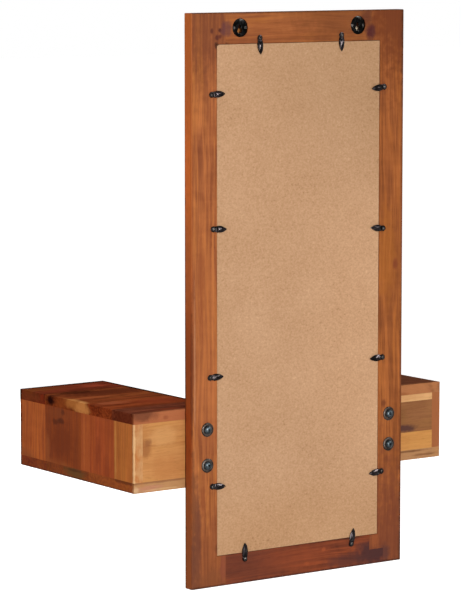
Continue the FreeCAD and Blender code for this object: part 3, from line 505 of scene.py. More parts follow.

# %% [markdown]
# ## The right-hand drawer box
#
# The boxes are made from edge-glued panels. One finish for a whole box would be less work, but then a
# stave would run on from board to board, so each board has its own. The right-hand box, which the camera
# sees from outside, has its staves upright on the side and running from side to side on the top, with a
# knot on the top's edge and a golden patch of sapwood beside it. Painted shade darkens its far edges and
# the seams under its side and back, its rear edges next to the frame are paler, and a painted highlight
# runs down the rear corner, which draws thin lines round the box.

# %% Dress the right-hand box
# Places that many marks share. The rear of the box is the end next to the frame.
BOX_OUTSIDE, BOX_REAR, BOX_TOP = [in_mm(value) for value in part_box("right_box_top")[1]]
BOX_FRONT = in_mm(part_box("right_box_top")[0].y)
BOX_FLOOR = in_mm(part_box("right_box_bottom")[0].z)
BOX_MIDDLE = (BOX_TOP + BOX_FLOOR) / 2
# The last tone of each stave paints shade on its eased edges; the pale one beside the frame paints a
# highlight.
acacia("right_box_outer_side", Z, Y, [
    Stave(92, "#c46630", "#994922", "#c66e30", "#994922"),
    Stave(126, "#9a481f", "#78361a", "#9e4c20", "#78361a"),
    Stave(31, "#b0562a", "#9c4a24", "#b05a2a", "#9c4a24"),
    Stave(83, "#b4542a", "#8f3f1e", "#b65a27", "#8f3f1e"),
    Stave(68, "#c47136", "#a25a28", "#c67a36", "#e6b280")], [
    # Marks within the staves
    Patch((BOX_OUTSIDE, -405, -846), (40, 60, 34), "#8a4c2a", 0.6),
    Patch((BOX_OUTSIDE, -280, -736), (40, 60, 14), "#84401f", 0.6),
    Patch((BOX_OUTSIDE, -270, -786), (40, 62, 52), "#763317", 0.7),
    Patch((BOX_OUTSIDE, -292, -753), (40, 13, 8), "#4a1f10", 0.6),
    Patch((BOX_OUTSIDE, -272, -749), (40, 17, 7), "#3f1b0e", 0.6),
    Patch((BOX_OUTSIDE, -264, -731), (40, 9, 9), "#4e2313", 0.6),
    Patch((BOX_OUTSIDE, -322, -812), (40, 13, 46), "#a0552c", 0.6),
    Patch((BOX_OUTSIDE, -285, -846), (40, 80, 26), "#9c5229", 0.75),
    Patch((BOX_OUTSIDE, -205, BOX_MIDDLE), (40, 9, 90), "#96481f", 0.6),
    Patch((BOX_OUTSIDE, -190, -776), (40, 5, 80), "#c26a36", 0.35),
    Patch((BOX_OUTSIDE, -142, -790), (40, 16, 34), "#8f3f20", 0.6),
    Patch((BOX_OUTSIDE, -112, -826), (40, 16, 40), "#94411f", 0.6),
    Patch((BOX_OUTSIDE, -82, BOX_MIDDLE), (40, 4, 90), "#cf8f4c", 0.5),
    # Painted shade along the far edge, the paler rear edge next to the frame, and a painted highlight down
    # the rear corner
    Patch((BOX_OUTSIDE, BOX_FRONT, BOX_MIDDLE), (40, 8, 200), "#3a190e", 0.85),
    Patch((268, BOX_REAR, BOX_MIDDLE), (160, 9, 200), "#cb9966", 0.95),
    Patch((BOX_OUTSIDE, BOX_REAR, BOX_MIDDLE), (5, 5, 140), "#e4b884", 0.75),
])
acacia("right_box_top", X, Y, [
    Stave(92, "#94412a", "#4a1e12", "#9a4628"), Stave(148, "#ae562e", "#62301a", "#ba6636"),
    Stave(86, "#b4562e", "#6e301a", "#b86232"), Stave(74, "#924e36", "#54281c", "#965038")], [
    # Clouds and streaks on the upper face
    Patch((BOX_OUTSIDE, -384, -714), (14, 70, 18), "#9e5a38", 0.45),
    Patch((340, -390, BOX_TOP), (70, 30, 10), "#864a22", 0.6),
    Patch((222, -374, BOX_TOP), (36, 22, 10), "#ac4c33", 0.7),
    Patch((245, -286, BOX_TOP), (170, 48, 12), "#68301c", 0.9),
    Patch((325, -242, BOX_TOP), (85, 15, 10), "#ae5c35", 0.8),
    Patch((270, -200, BOX_TOP), (130, 12, 10), "#8a4023", 0.6),
    Patch((225, -136, BOX_TOP), (80, 44, 10), "#903e25", 0.75),
    Patch((318, -162, BOX_TOP), (52, 24, 10), "#b05e3c", 0.75),
    Patch((275, -98, BOX_TOP), (95, 15, 10), "#763820", 0.8),
    Patch((272, -42, BOX_TOP), (38, 13, 8), "#904229", 0.6),
    # Sapwood and the knot on the outer edge
    Patch((BOX_OUTSIDE, -262, -712), (24, 40, 16), "#a85c30", 0.7),
    Patch((BOX_OUTSIDE, -230, -709), (22, 40, 15), "#d18c4e", 0.9),
    Patch((BOX_OUTSIDE, -197, -715), (17, 32, 20), "#eca763", 0.95),
    Patch((BOX_OUTSIDE, -340, -711), (14, 10, 9), "#9a3c24", 0.7),
    Patch((BOX_OUTSIDE, -308, -713), (24, 20, 14), "#2a1213", 0.95),
    Patch((300, -314, BOX_TOP), (66, 26, 20), "#3f1a10", 0.75),
    Patch((BOX_OUTSIDE, -50, -716), (10, 60, 18), "#733420", 0.6),
    # Painted shade along the far edges, and the paler rear edge next to the frame
    Patch((268, BOX_FRONT, BOX_TOP), (300, 16, 14), "#230e09", 0.95),
    Patch((172, -220, BOX_TOP), (15, 400, 14), "#230e09", 0.95),
    Patch((BOX_OUTSIDE, BOX_FRONT, -714), (40, 8, 30), "#30150c", 0.85),
    Patch((268, BOX_REAR, -712), (200, 9, 60), "#b46c46", 0.9),
    Patch((344, BOX_REAR, -706), (50, 9, 18), "#75432f", 0.85),
    Patch((294, BOX_REAR, -716), (9, 12, 7), "#8a4a30", 0.6),
], satin=0.0)
acacia("right_box_bottom", X, Y, [
    Stave(94, "#a5502b", "#78361d"), Stave(150, "#ac5c30", "#824420"), Stave(156, "#c4703a", "#985026")], [
    # Olive patch, painted shade in the seam under the side and along the lower and far edges,
    # and the paler rear edge next to the frame with its streaks
    Patch((BOX_OUTSIDE, -225, -843), (30, 52, 15), "#7c5c34", 0.9),
    Patch((BOX_OUTSIDE, -225, -838), (30, 40, 4), "#5c3c22", 0.7),
    Patch((BOX_OUTSIDE, -50, -836), (30, 60, 5), "#6e3a1c", 0.7),
    Patch((BOX_OUTSIDE, -230, BOX_FLOOR), (30, 400, 4), "#4a2416", 0.75),
    Patch((BOX_OUTSIDE, BOX_FRONT, -844), (30, 8, 30), "#3a190e", 0.85),
    Patch((268, BOX_REAR, -844), (200, 10, 60), "#b88a5c", 0.9),
    Patch((330, BOX_REAR, -846), (36, 12, 8), "#c08068", 0.6),
    Patch((300, BOX_REAR, -850), (60, 12, 2.5), "#d2a878", 0.6),
    # Painted highlight at the rear corner
    Patch((361, BOX_REAR, -848), (9, 9, 9), "#dcb68c", 0.65),
    # Painted shade in the seam under the back
    Patch((268, BOX_REAR, -835), (200, 12, 4), "#8a5636", 0.7),
])
acacia("right_box_back", X, Z, [
    Stave(60, "#cb8e54", "#b97c46", "#cf9654"), Stave(50, "#c68a50", "#b47642", "#cc9250")], [
    Patch((302, BOX_REAR, -752), (46, 20, 26), "#d29a60", 0.6),
    Patch((340, BOX_REAR, -770), (20, 20, 27), "#a06438", 0.85),
    Patch((333, BOX_REAR, -760), (12, 20, 9), "#8c5534", 0.6),
    Patch((290, BOX_REAR, -812), (56, 20, 36), "#b87642", 0.6),
])
print("right-hand box dressed,", BOX_TOP - BOX_FLOOR, "mm high")

# %% [markdown]
# ## The left-hand box and the boards at the front
#
# The camera sees the left-hand box from behind: a back with level staves of pale, chestnut and honey, and
# a thin strip of the top. The boards that nobody sees in this view could all be one brown, but the part is
# looked at from every side, so they take staves of the common tones in a fixed random order.

# %% Dress the left-hand box and the drawer fronts
BOX_DEPTH = BOX_REAR - BOX_FRONT
STAVE_WIDTHS = (45, 95)
# No stave is added for a rest as narrow as this; the ramp stretches the others over it.
NARROW_REST = 30


def mixed_staves(node, seed):
    """Staves of mixed tones, about as wide together as a box is deep."""
    chance = random.Random(f"{node} {seed}")
    made = []
    while sum(each.width for each in made) < BOX_DEPTH - NARROW_REST:
        made.append(stave(chance.uniform(*STAVE_WIDTHS), chance.choice(list(TONES))))
    return made


acacia("left_box_back", X, Z, [
    Stave(35.4, "#d29452", "#c48648", "#d69e54"), Stave(60.9, "#9a6640", "#875634", "#9c6c3a"),
    Stave(13.7, "#e0ac76", "#cc9662", "#e2ae74")], [
    Patch((-250, BOX_REAR, -768), (50, 20, 30), "#85592f", 0.5),
    Patch((-276, BOX_REAR, -790), (40, 20, 10), "#523430", 0.9),
])
acacia("left_box_top", X, Y, [
    stave(120, "umber"), Stave(140, "#74402e", "#4e271c", "#74402e"),
    Stave(140, "#824d34", "#502e24", "#88543a")], [
    Patch((-268, BOX_REAR, -712), (200, 9, 60), "#b5764c", 0.95),
    Patch((-240, BOX_REAR, -722), (70, 12, 5), "#9a5c38", 0.7),
], satin=0.0)
acacia("left_box_bottom", X, Y, mixed_staves("left_box_bottom", 1), [
    Patch((-268, BOX_REAR, -844), (200, 12, 60), "#b28258", 0.9),
    Patch((-286, BOX_REAR, -837), (60, 14, 3), "#6e4429", 0.75),
    Patch((-330, BOX_REAR, -846), (40, 14, 3), "#7c4f30", 0.7),
])
acacia("left_box_outer_side", Z, Y, mixed_staves("left_box_outer_side", 2), [
    Patch((-355, BOX_REAR, BOX_MIDDLE), (60, 9, 200), "#a2603a", 0.95),
])
for side in ("right", "left"):
    acacia(f"{side}_box_inner_side", Z, Y, mixed_staves(f"{side}_box_inner_side", 3))
    acacia(f"{side}_drawer_front", X, Z, [stave(54, "chestnut"), stave(53, "russet")])
print("left-hand box and drawer fronts dressed")

# %% [markdown]
# ## Inside the drawers
#
# Drawer sides and backs are plain sawn wood with no lacquer, the bottoms are thin plywood and the dowels
# beech. The recipe for acacia would do, but none of them needs staves or knots, so a shorter one is
# enough: fine stretched noise between two close tones, quite rough.

# %% Dress the drawers' insides
PLAIN_SATIN = 0.1
PLAIN_DETAIL, PLAIN_WAVE = 4, 0.3
PLAIN_TONES_AT = (0.32, 0.68)
PLAIN_DEPTH, PLAIN_RELIEF = 0.2, 0.2


def plain_wood(name, fibre, light, dark, spacing, roughness):
    """Unlacquered wood: gives the eye a pale board with a fine, even grain and no shine.

    The spacing is the size of its grain across and along the fibre, in millimetres.
    """
    material, shader = new_finish(name, Roughness=roughness, Specular_IOR_Level=PLAIN_SATIN)
    place = add_node(material, "ShaderNodeTexCoord").outputs["Object"]
    streak = fibre_noise(material, place, fibre, *spacing, PLAIN_DETAIL, PLAIN_WAVE)[0]
    stops = list(zip(PLAIN_TONES_AT, (paint(dark), paint(light))))
    colour = add_node(material, "ShaderNodeValToRGB", {"Fac": streak}, stops).outputs[0]
    material.node_tree.links.new(colour, shader.inputs["Base Color"])
    relief = add_node(material, "ShaderNodeBump", {
        "Height": streak, "Strength": PLAIN_RELIEF, "Distance": PLAIN_DEPTH * MM}).outputs[0]
    material.node_tree.links.new(relief, shader.inputs["Normal"])
    return material


drawer_wood = plain_wood("sawn_drawer_wood", Y, "#d3a876", "#b98a58", spacing=(5, 120), roughness=0.6)
back_wood = plain_wood(
    "sawn_drawer_back_wood", X, "#d3a876", "#b98a58", spacing=(5, 120), roughness=0.6)
plywood = plain_wood("thin_plywood", Y, "#dab988", "#c7a06c", spacing=(9, 200), roughness=0.65)
beech = plain_wood("beech_dowel", Z, "#dcb58c", "#c89a6c", spacing=(2, 30), roughness=0.55)
for side in ("right", "left"):
    dress(f"{side}_drawer_left_side", drawer_wood)
    dress(f"{side}_drawer_right_side", drawer_wood)
    dress(f"{side}_drawer_back", back_wood)
    dress(f"{side}_drawer_bottom", plywood)
    dress(f"{side}_box_dowels", beech)
print("drawer boards dressed")

# %% [markdown]
# ## Hardboard
#
# Hardboard is wood fibre pressed with glue: tan, matt and finely speckled, with slow clouds of lighter
# and darker fibre. One flat tan would look like card, so three sizes of noise give clouds, mottling and
# specks, and three wide tints paint shade over the upper part and along the foot and light down the
# middle of one side.
# Real fibres are too fine to show here, so the specks are drawn 2.4 mm wide.

# %% Dress the backing board
CLOUD_SIZE, MOTTLE_SIZE, SPECK_SIZE = 120, 4, 2.4
CLOUD_SHARE, SPECK_SHARE = 0.6, 0.9
SPECK_DEPTH, SPECK_RELIEF = 0.2, 0.25
FIBRE_STRETCH = 1.25
FIBRE_RANGE = (0.75, 1.75)
TANS = [(0.0, "#a37854"), (0.35, "#ba8f69"), (0.65, "#c39873"), (1.0, "#d0a782")]
# A shade is an ellipsoid in millimetres whose tint, multiplied into the tan, paints shade below 1 and
# light above it, and fades from its core to its rim.
SHADE_RIM, SHADE_CORE = 1.0, 0.2
Shade = namedtuple("Shade", "centre radii tint")
PAINTED_SHADES = [
    Shade((-140, 0, -40), (340, 90, 330), (0.85, 0.84, 0.8)),
    Shade((-150, 0, -620), (190, 90, 420), (1.09, 1.09, 1.1)),
    Shade((0, 0, -985), (420, 90, 170), (0.96, 0.93, 0.87)),
]
# Pressed fibre: gives the eye a dry, speckled tan with no shine, the calm middle of the picture.
hardboard, shader = new_finish("pressed_hardboard", Roughness=0.75, Specular_IOR_Level=0.1)
place = add_node(hardboard, "ShaderNodeTexCoord").outputs["Object"]
place = add_node(hardboard, "ShaderNodeVectorMath", {
    0: place, 1: (1 / FIBRE_STRETCH, 1, 1)}, operation="MULTIPLY").outputs[0]
clouds, mottle, specks = [
    add_node(hardboard, "ShaderNodeTexNoise", {
        "Vector": place, "Scale": 1 / (size * MM), "Detail": detail}).outputs[0]
    for size, detail in ((CLOUD_SIZE, 2.0), (MOTTLE_SIZE, 3.0), (SPECK_SIZE, 2.0))]
fibres = mottle
for layer, share in ((clouds, CLOUD_SHARE), (specks, SPECK_SHARE)):
    fibres = add_node(hardboard, "ShaderNodeMath", {
        0: layer, 1: share, 2: fibres}, operation="MULTIPLY_ADD").outputs[0]
fibres = add_node(hardboard, "ShaderNodeMapRange", {
    "Value": fibres, "From Min": FIBRE_RANGE[0], "From Max": FIBRE_RANGE[1]}).outputs[0]
tan = add_node(hardboard, "ShaderNodeValToRGB", {"Fac": fibres}, [
    (position, paint(code)) for position, code in TANS]).outputs[0]
for shade in PAINTED_SHADES:
    reach = reach_from(hardboard, place, shade.centre, shade.radii)
    amount = add_node(hardboard, "ShaderNodeMapRange", {
        "Value": reach, "From Min": SHADE_RIM, "From Max": SHADE_CORE},
        interpolation_type="SMOOTHSTEP").outputs[0]
    tan = add_node(hardboard, "ShaderNodeMix", {
        SHARE: amount, BELOW: tan, ABOVE: (*shade.tint, 1.0)},
        data_type="RGBA", blend_type="MULTIPLY").outputs[MIXED]
hardboard.node_tree.links.new(tan, shader.inputs["Base Color"])
relief = add_node(hardboard, "ShaderNodeBump", {
    "Height": specks, "Strength": SPECK_RELIEF, "Distance": SPECK_DEPTH * MM}).outputs[0]
hardboard.node_tree.links.new(relief, shader.inputs["Normal"])
dress("backing_board", hardboard)
print("hardboard with", len(TANS), "tans and", len(PAINTED_SHADES), "shades")

# %% [markdown]
# ## Mirror glass
#
# The mirror is float glass with a silver layer at its back. It could be a clear sheet over a bright one,
# but the eye sees the two as one smooth reflector, so a metal with almost no roughness is enough.

# %% Dress the glass
# Silver behind float glass: gives the eye a clean white reflection of the studio.
silvered_glass, _ = new_finish(
    "silvered_glass", Base_Color=paint("#eef1f0"), Metallic=1.0, Roughness=0.015)
dress("mirror_glass", silvered_glass)
print("glass dressed in", silvered_glass.name)

# %% [markdown]
# ## Steel
#
# The turn buttons are pressed steel with black plating that is rubbed a little thinner in places, and the
# hangers are enamelled a deeper black. The bolts are burnished, their washers dark and rougher, the screws
# blackened, and the hidden inserts bright zinc. One black for all of them would run together at this size.
# A metal has its colour in its reflection, so each colour below is the tone of that reflection, and fine
# noise in the roughness keeps it from looking like plastic.

# %% Recipes for the metals
WEAR_DETAIL, WEAR_ROUGHNESS = 4.0, 0.6
WEAR_TONES_AT = (0.35, 0.72)
WEAR_RANGE = (0.3, 0.7)
# How much smoother a metal is where it is least worn, and how much rougher where it is most.
WEAR_SMOOTHER, WEAR_ROUGHER = 0.07, 0.1


def metal(name, light, dark, roughness, wear_size, metallic=1.0):
    """Worn metal: its reflection runs between two tones, and wear, sized in millimetres, breaks it up."""
    material, shader = new_finish(name, Metallic=metallic)
    place = add_node(material, "ShaderNodeTexCoord").outputs["Object"]
    wear = add_node(material, "ShaderNodeTexNoise", {
        "Vector": place, "Scale": 1 / (wear_size * MM), "Detail": WEAR_DETAIL,
        "Roughness": WEAR_ROUGHNESS}).outputs[0]
    stops = list(zip(WEAR_TONES_AT, (paint(dark), paint(light))))
    colour = add_node(material, "ShaderNodeValToRGB", {"Fac": wear}, stops).outputs[0]
    material.node_tree.links.new(colour, shader.inputs["Base Color"])
    gloss = add_node(material, "ShaderNodeMapRange", {
        "Value": wear, "From Min": WEAR_RANGE[0], "From Max": WEAR_RANGE[1],
        "To Min": roughness - WEAR_SMOOTHER, "To Max": roughness + WEAR_ROUGHER}).outputs[0]
    material.node_tree.links.new(gloss, shader.inputs["Roughness"])
    return material


# Black plating: gives the eye a dark leaf with one soft glint on its ridge.
black_steel = metal("black_plated_steel", "#242021", "#110f0f", roughness=0.18, wear_size=12)
# Enamel on a stamping: the darkest spots of the picture, with a thin bright rim.
hanger_steel = metal("black_enamelled_steel", "#141313", "#080807", roughness=0.16, wear_size=12)
# Blackened screws: a grey head with a dark cross that tells the button from its pivot.
screw_steel = metal("black_screw_steel", "#4a4644", "#1e1c1b", roughness=0.26, wear_size=8)
# Worn blackening on the small hanger screws: two dim dots beside the keyhole.
hanger_screw_steel = metal("worn_black_screw_steel", "#4e4a47", "#262321", roughness=0.34, wear_size=4)
# Burnished bolts: a cool grey dome round a black socket.
bolt_steel = metal("burnished_dark_steel", "#42494d", "#212628", roughness=0.34, wear_size=8)
# Rolled washers: a warmer, duller ring that sets the bolt off from the wood.
washer_steel = metal("dark_washer_steel", "#3a332f", "#231e1b", roughness=0.36, wear_size=8)
# Zinc plating: the pale, bright metal of the hidden inserts and knob screws.
zinc_steel = metal("zinc_plated_steel", "#c3c6c8", "#9fa3a6", roughness=0.3, wear_size=4)
# Powder coat on the knobs: a matt black that is no metal to the eye.
black_iron = metal(
    "black_powder_coat", "#262526", "#181718", roughness=0.45, wear_size=1.5, metallic=0.0)
dress("threaded_inserts", zinc_steel)
print("metal finishes:", black_steel.name, bolt_steel.name, washer_steel.name)

# %% [markdown]
# ## Turned pieces
#
# Screws, bolts, washers and knobs are turned on a lathe, so they are drawn as half an outline in
# millimetres and spun about the Z axis. The outlines could be copied from the CAD solids, but those have
# no rounded rims, and rims are what catches the light.

# %% Turning
TURNED_SIDES = 40
# Points that lie closer together than this, in millimetres, are one point.
WELD = 0.001


def turned(outline, steps=TURNED_SIDES, ring=False):
    """Spin half an outline of (radius, height) points about Z; a ring's outline runs back to its start."""
    bm = bmesh.new()
    points = [bm.verts.new((radius, 0, height)) for radius, height in outline]
    for first, second in zip(points, points[1:] + points[:1] if ring else points[1:]):
        bm.edges.new((first, second))
    bmesh.ops.spin(
        bm, geom=bm.verts[:] + bm.edges[:], cent=(0, 0, 0), axis=(0, 0, 1), angle=math.tau, steps=steps,
        use_merge=True)
    bmesh.ops.remove_doubles(bm, verts=bm.verts, dist=WELD)
    bmesh.ops.recalc_face_normals(bm, faces=bm.faces)
    return bm


print("a turned piece has", TURNED_SIDES, "sides unless it asks for others")

# %% [markdown]
# ### Recesses
#
# A screw has a cross for the driver and a bolt a socket for the key, both pressed into the finished head.
# They could be dark paint on the head, but a real recess keeps its shade from every side, so a small
# closed tool is taken out of the head, as the press does it.

# %% Cutting a recess
def cut(blank, tool):
    """Take one closed shape out of another and free both."""
    works = []
    for shape in (blank, tool):
        mesh = bpy.data.meshes.new("work")
        shape.to_mesh(mesh)
        shape.free()
        works.append(bpy.data.objects.new("work", mesh))
        bpy.context.scene.collection.objects.link(works[-1])
    recess = works[0].modifiers.new("recess", "BOOLEAN")
    recess.operation = "DIFFERENCE"
    recess.solver = "EXACT"
    recess.object = works[1]
    made = bpy.data.meshes.new_from_object(works[0].evaluated_get(bpy.context.evaluated_depsgraph_get()))
    result = bmesh.new()
    result.from_mesh(made)
    for mesh in (works[0].data, works[1].data, made):
        bpy.data.meshes.remove(mesh)
    return result


def cross_recess(blank, reach, width, top, depth):
    """Press a driver's cross into the top of a screw head."""
    for size in ((reach, width), (width, reach)):
        tool = bmesh.new()
        bmesh.ops.create_cube(tool, size=1)
        bmesh.ops.scale(tool, vec=(*size, 2 * depth), verts=tool.verts)
        bmesh.ops.translate(tool, vec=(0, 0, top), verts=tool.verts)
        blank = cut(blank, tool)
    return blank


print("recess cuts ready, meshes so far:", len(bpy.data.meshes))

# %% [markdown]
# ### From one master to every place
#
# Equal fasteners come out of one packet, so one master is made in millimetres, facing up, and copied to
# each place. Linked copies would save memory, but equal fasteners are one node of the CAD model, so their
# copies go into one mesh too. Each new piece then rides on its body, takes its material, and hides the
# CAD node that it replaces.

# %% Placing pieces
# Faces that meet at a wider angle than this keep a sharp edge between them.
SHARP_ANGLE = math.radians(38)
FACING_BACK = Matrix.Rotation(-math.pi / 2, 4, "X")
FACING_FRONT = Matrix.Rotation(math.pi / 2, 4, "X")


def copies(master, spots, facing):
    """One bmesh with a copy of a millimetre-sized master at each spot, its Z axis turned outwards."""
    mesh = bpy.data.meshes.new("master")
    master.to_mesh(mesh)
    master.free()
    bm = bmesh.new()
    for spot in spots:
        before = len(bm.verts)
        bm.from_mesh(mesh)
        bm.verts.ensure_lookup_table()
        place = Matrix.Translation(spot) @ facing @ Matrix.Scale(MM, 4)
        bmesh.ops.transform(bm, matrix=place, verts=bm.verts[before:])
    bpy.data.meshes.remove(mesh)
    return bm


def add_piece(bm, name, body, replaced, material):
    """Turn a bmesh into a piece that rides on a body and hides the CAD node that it replaces."""
    mesh = bpy.data.meshes.new(name)
    for face in bm.faces:
        face.smooth = True
    bm.to_mesh(mesh)
    bm.free()
    mesh.set_sharp_from_angle(angle=SHARP_ANGLE)
    mesh.materials.append(material)
    piece = bpy.data.objects.new(name, mesh)
    bpy.context.scene.collection.objects.link(piece)
    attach(piece, body)
    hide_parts(replaced)
    print(name, "faces:", len(mesh.polygons))


print("a master's Z axis turns to", [round(value) for value in FACING_BACK.col[Z][:3]], "at the back")

# %% [markdown]
# ### Screws
#
# Each turn button pivots on a wood screw with a domed head, and two small countersunk screws hold each
# hanger plate. Their places could be written out again, but the model knows them: the buttons' joints
# give the pivots, and the box round each plate gives the pair beside its keyhole.

# %% Screws of the turn buttons
joints = {joint["child"]: joint for joint in frame["joints"]}
buttons = [node for node in nodes if node.startswith("turn_button") and node in joints]
button_spots = []
for button in buttons:
    x, _, z = joints[button]["pos_m"]
    button_spots.append(Vector((x, BACK_FACE * MM, z)))
button_screw = turned([
    (0, 4.2), (1.5, 4.05), (2.6, 3.65), (3.4, 3.1), (3.8, 2.5), (3.8, 2.0), (2.0, 2.0), (2.0, -11),
    (0, -14)])
button_screw = cross_recess(button_screw, reach=4.4, width=1.0, top=4.2, depth=1.4)
add_piece(copies(button_screw, button_spots, FACING_BACK), "cross_head_button_screws", "mirror_frame",
          "turn_button_screws", screw_steel)

# %% Screws of the hangers
HANGER_SCREW_REACH = 13.2 * MM
hanger_spots = []
for side in ("right", "left"):
    low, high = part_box(f"{side}_hanger")
    middle = (low + high) / 2
    for step in (HANGER_SCREW_REACH, -HANGER_SCREW_REACH):
        hanger_spots.append(Vector((middle.x + step, high.y, middle.z)))
hanger_screw = turned([(0, 0), (2.35, 0), (2.5, -0.15), (1.3, -1.3), (1.3, -9.2), (0, -11)], steps=32)
hanger_screw = cross_recess(hanger_screw, reach=3.0, width=0.8, top=0, depth=1.0)
add_piece(copies(hanger_screw, hanger_spots, FACING_BACK), "countersunk_hanger_screws", "mirror_frame",
          "hanger_screws", hanger_screw_steel)

# %% [markdown]
# ### Bolts and washers
#
# Four bolts with domed heads and hexagon sockets hold the boxes, each on a wide washer that keeps it from
# sinking into the wood. All four washers share one CAD node, so their places could not be read from its
# box. Instead, the loose rings in the node are told apart by walking along their edges, and each ring's
# middle is the place of a bolt.

# %% Places of the bolts
def ring_middles(node):
    """The middle of each loose ring in a node that groups equal rings, on its outer face."""
    bm = bmesh.new()
    bm.from_mesh(nodes[node].data)
    bmesh.ops.remove_doubles(bm, verts=bm.verts, dist=WELD * MM)
    middles = []
    left = set(bm.verts)
    while left:
        ring = [left.pop()]
        for vert in ring:
            for edge in vert.link_edges:
                other = edge.other_vert(vert)
                if other in left:
                    left.remove(other)
                    ring.append(other)
        span = [[vert.co[axis] for vert in ring] for axis in (X, Y, Z)]
        middles.append(Vector((
            (min(span[X]) + max(span[X])) / 2, max(span[Y]), (min(span[Z]) + max(span[Z])) / 2)))
    bm.free()
    return middles


bolt_spots = sorted(ring_middles("bolt_washers"), key=tuple)
print("bolts at", [(round(spot.x / MM, 1), round(spot.z / MM, 1)) for spot in bolt_spots])

# %% Bolts and washers of the boxes
washer = turned([
    (4.2, -2), (13.1, -2), (13.5, -1.6), (13.3, -0.9), (12.4, -0.3), (11.2, 0), (4.6, 0), (4.2, -0.3)],
    steps=56, ring=True)
add_piece(copies(washer, bolt_spots, FACING_BACK), "rolled_bolt_washers", "mirror_frame", "bolt_washers",
          washer_steel)
BOLT_TOP = 4.4
bolt = turned([
    (0, BOLT_TOP), (3.9, BOLT_TOP), (5.0, 4.2), (6.6, 3.4), (7.8, 2.2), (8.4, 1.0), (8.5, 0.3), (8.2, 0),
    (4.0, 0), (4.0, -36.5), (2.8, -38), (0, -38)], steps=48)
# A hexagon of 5 mm across its flats, and the radius to its corners.
SOCKET_FLATS, SOCKET_DEPTH = 5.0, 2.6
SOCKET_RADIUS = SOCKET_FLATS / 2 / math.cos(math.pi / 6)
socket = bmesh.new()
bmesh.ops.create_cone(
    socket, cap_ends=True, segments=6, radius1=SOCKET_RADIUS, radius2=SOCKET_RADIUS,
    depth=2 * SOCKET_DEPTH, matrix=Matrix.Translation((0, 0, BOLT_TOP)))
add_piece(copies(cut(bolt, socket), bolt_spots, FACING_BACK), "socket_head_bolts", "mirror_frame",
          "box_bolts", bolt_steel)

# %% [markdown]
# ### Knobs
#
# Each drawer has one turned knob with a narrow neck for the fingers, powder coated black, and a pan-head
# screw holds it from inside the drawer. A ball on a stick would do from afar, but the neck and the domed
# face are what a hand looks for, so both are in the outline.

# %% Knobs and their screws
KNOB_SIDES = 56
knob_outline = [
    (0, 24), (6, 23.8), (10.2, 23.0), (12.8, 21.5), (13.9, 19.4), (14, 17.8), (13.2, 15.6), (10.4, 13),
    (7, 10.4), (5.4, 8), (5, 6), (5.2, 4), (6.1, 2.4), (7.5, 1.5), (7.5, 0), (2.15, 0), (2.15, 12.2),
    (0, 12.2)]
pan_screw_outline = [
    (0, 2.4), (1.8, 2.3), (3.2, 1.8), (3.9, 1.0), (4.0, 0), (2.0, 0), (2.0, -28.2), (0, -30)]
for side in ("right", "left"):
    low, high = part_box(f"{side}_drawer_knob")
    foot = Vector(((low.x + high.x) / 2, high.y, (low.z + high.z) / 2))
    add_piece(copies(turned(knob_outline, KNOB_SIDES), [foot], FACING_FRONT), f"{side}_turned_knob",
              f"{side}_drawer", f"{side}_drawer_knob", black_iron)
    seat = Vector((foot.x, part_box(f"{side}_drawer_front")[1].y, foot.z))
    screw = cross_recess(turned(pan_screw_outline), reach=4.6, width=1.1, top=2.4, depth=1.5)
    add_piece(copies(screw, [seat], FACING_BACK), f"{side}_pan_head_screw", f"{side}_drawer",
              f"{side}_drawer_knob_screw", zinc_steel)

# %% [markdown]
# ## Pressed hangers and turn buttons
#
# Both are stamped from sheet, and a stamping has no knife edges: the die leaves every rim round and the
# ridge of a button softly domed. New outlines could be drawn, but the CAD solids have the right ones, so a
# copy of each is merged into one clean mesh, its flat faces are joined, and its edges are rounded with a
# bevel. The ridge gets a wide bevel, the rims a small one.

# %% Rounding a stamping
FLAT_ANGLE = math.radians(0.5)


def merged_copy(node):
    """A node's loose triangles as one mesh in millimetres with whole flat faces."""
    bm = bmesh.new()
    bm.from_mesh(nodes[node].data)
    bmesh.ops.scale(bm, vec=(1 / MM, 1 / MM, 1 / MM), verts=bm.verts)
    bmesh.ops.remove_doubles(bm, verts=bm.verts, dist=WELD)
    bmesh.ops.dissolve_limit(bm, angle_limit=FLAT_ANGLE, verts=bm.verts, edges=bm.edges)
    return bm


def soften(bm, width, least=30, most=180, segments=3):
    """Round the edges whose faces meet within a range of angles in degrees."""
    low, high = math.radians(least), math.radians(most)
    edges = [edge for edge in bm.edges if edge.is_manifold and low < edge.calc_face_angle() < high]
    bmesh.ops.bevel(
        bm, geom=edges, offset=width, offset_type="OFFSET", segments=segments, profile=0.5, affect="EDGES",
        clamp_overlap=True, material=-1)


print("stampings to round:", len(buttons), "turn buttons and 2 hangers")

# %% Hangers and turn buttons
# Widths of the bevels in millimetres, and the angles in degrees at which the faces beside a ridge meet.
PLATE_RIM, LEAF_RIM, LEAF_RIDGE = 0.4, 0.3, 1.4
RIDGE_LEAST, RIDGE_MOST = 10, 60
for side in ("right", "left"):
    plate = merged_copy(f"{side}_hanger")
    soften(plate, PLATE_RIM)
    bmesh.ops.scale(plate, vec=(MM, MM, MM), verts=plate.verts)
    add_piece(plate, f"{side}_pressed_hanger", "mirror_frame", f"{side}_hanger",
              hanger_steel)
for button in buttons:
    leaf = merged_copy(button)
    soften(leaf, LEAF_RIDGE, least=RIDGE_LEAST, most=RIDGE_MOST, segments=4)
    soften(leaf, LEAF_RIM, least=RIDGE_MOST)
    bmesh.ops.scale(leaf, vec=(MM, MM, MM), verts=leaf.verts)
    add_piece(leaf, f"pressed_{button}", button, button, black_steel)

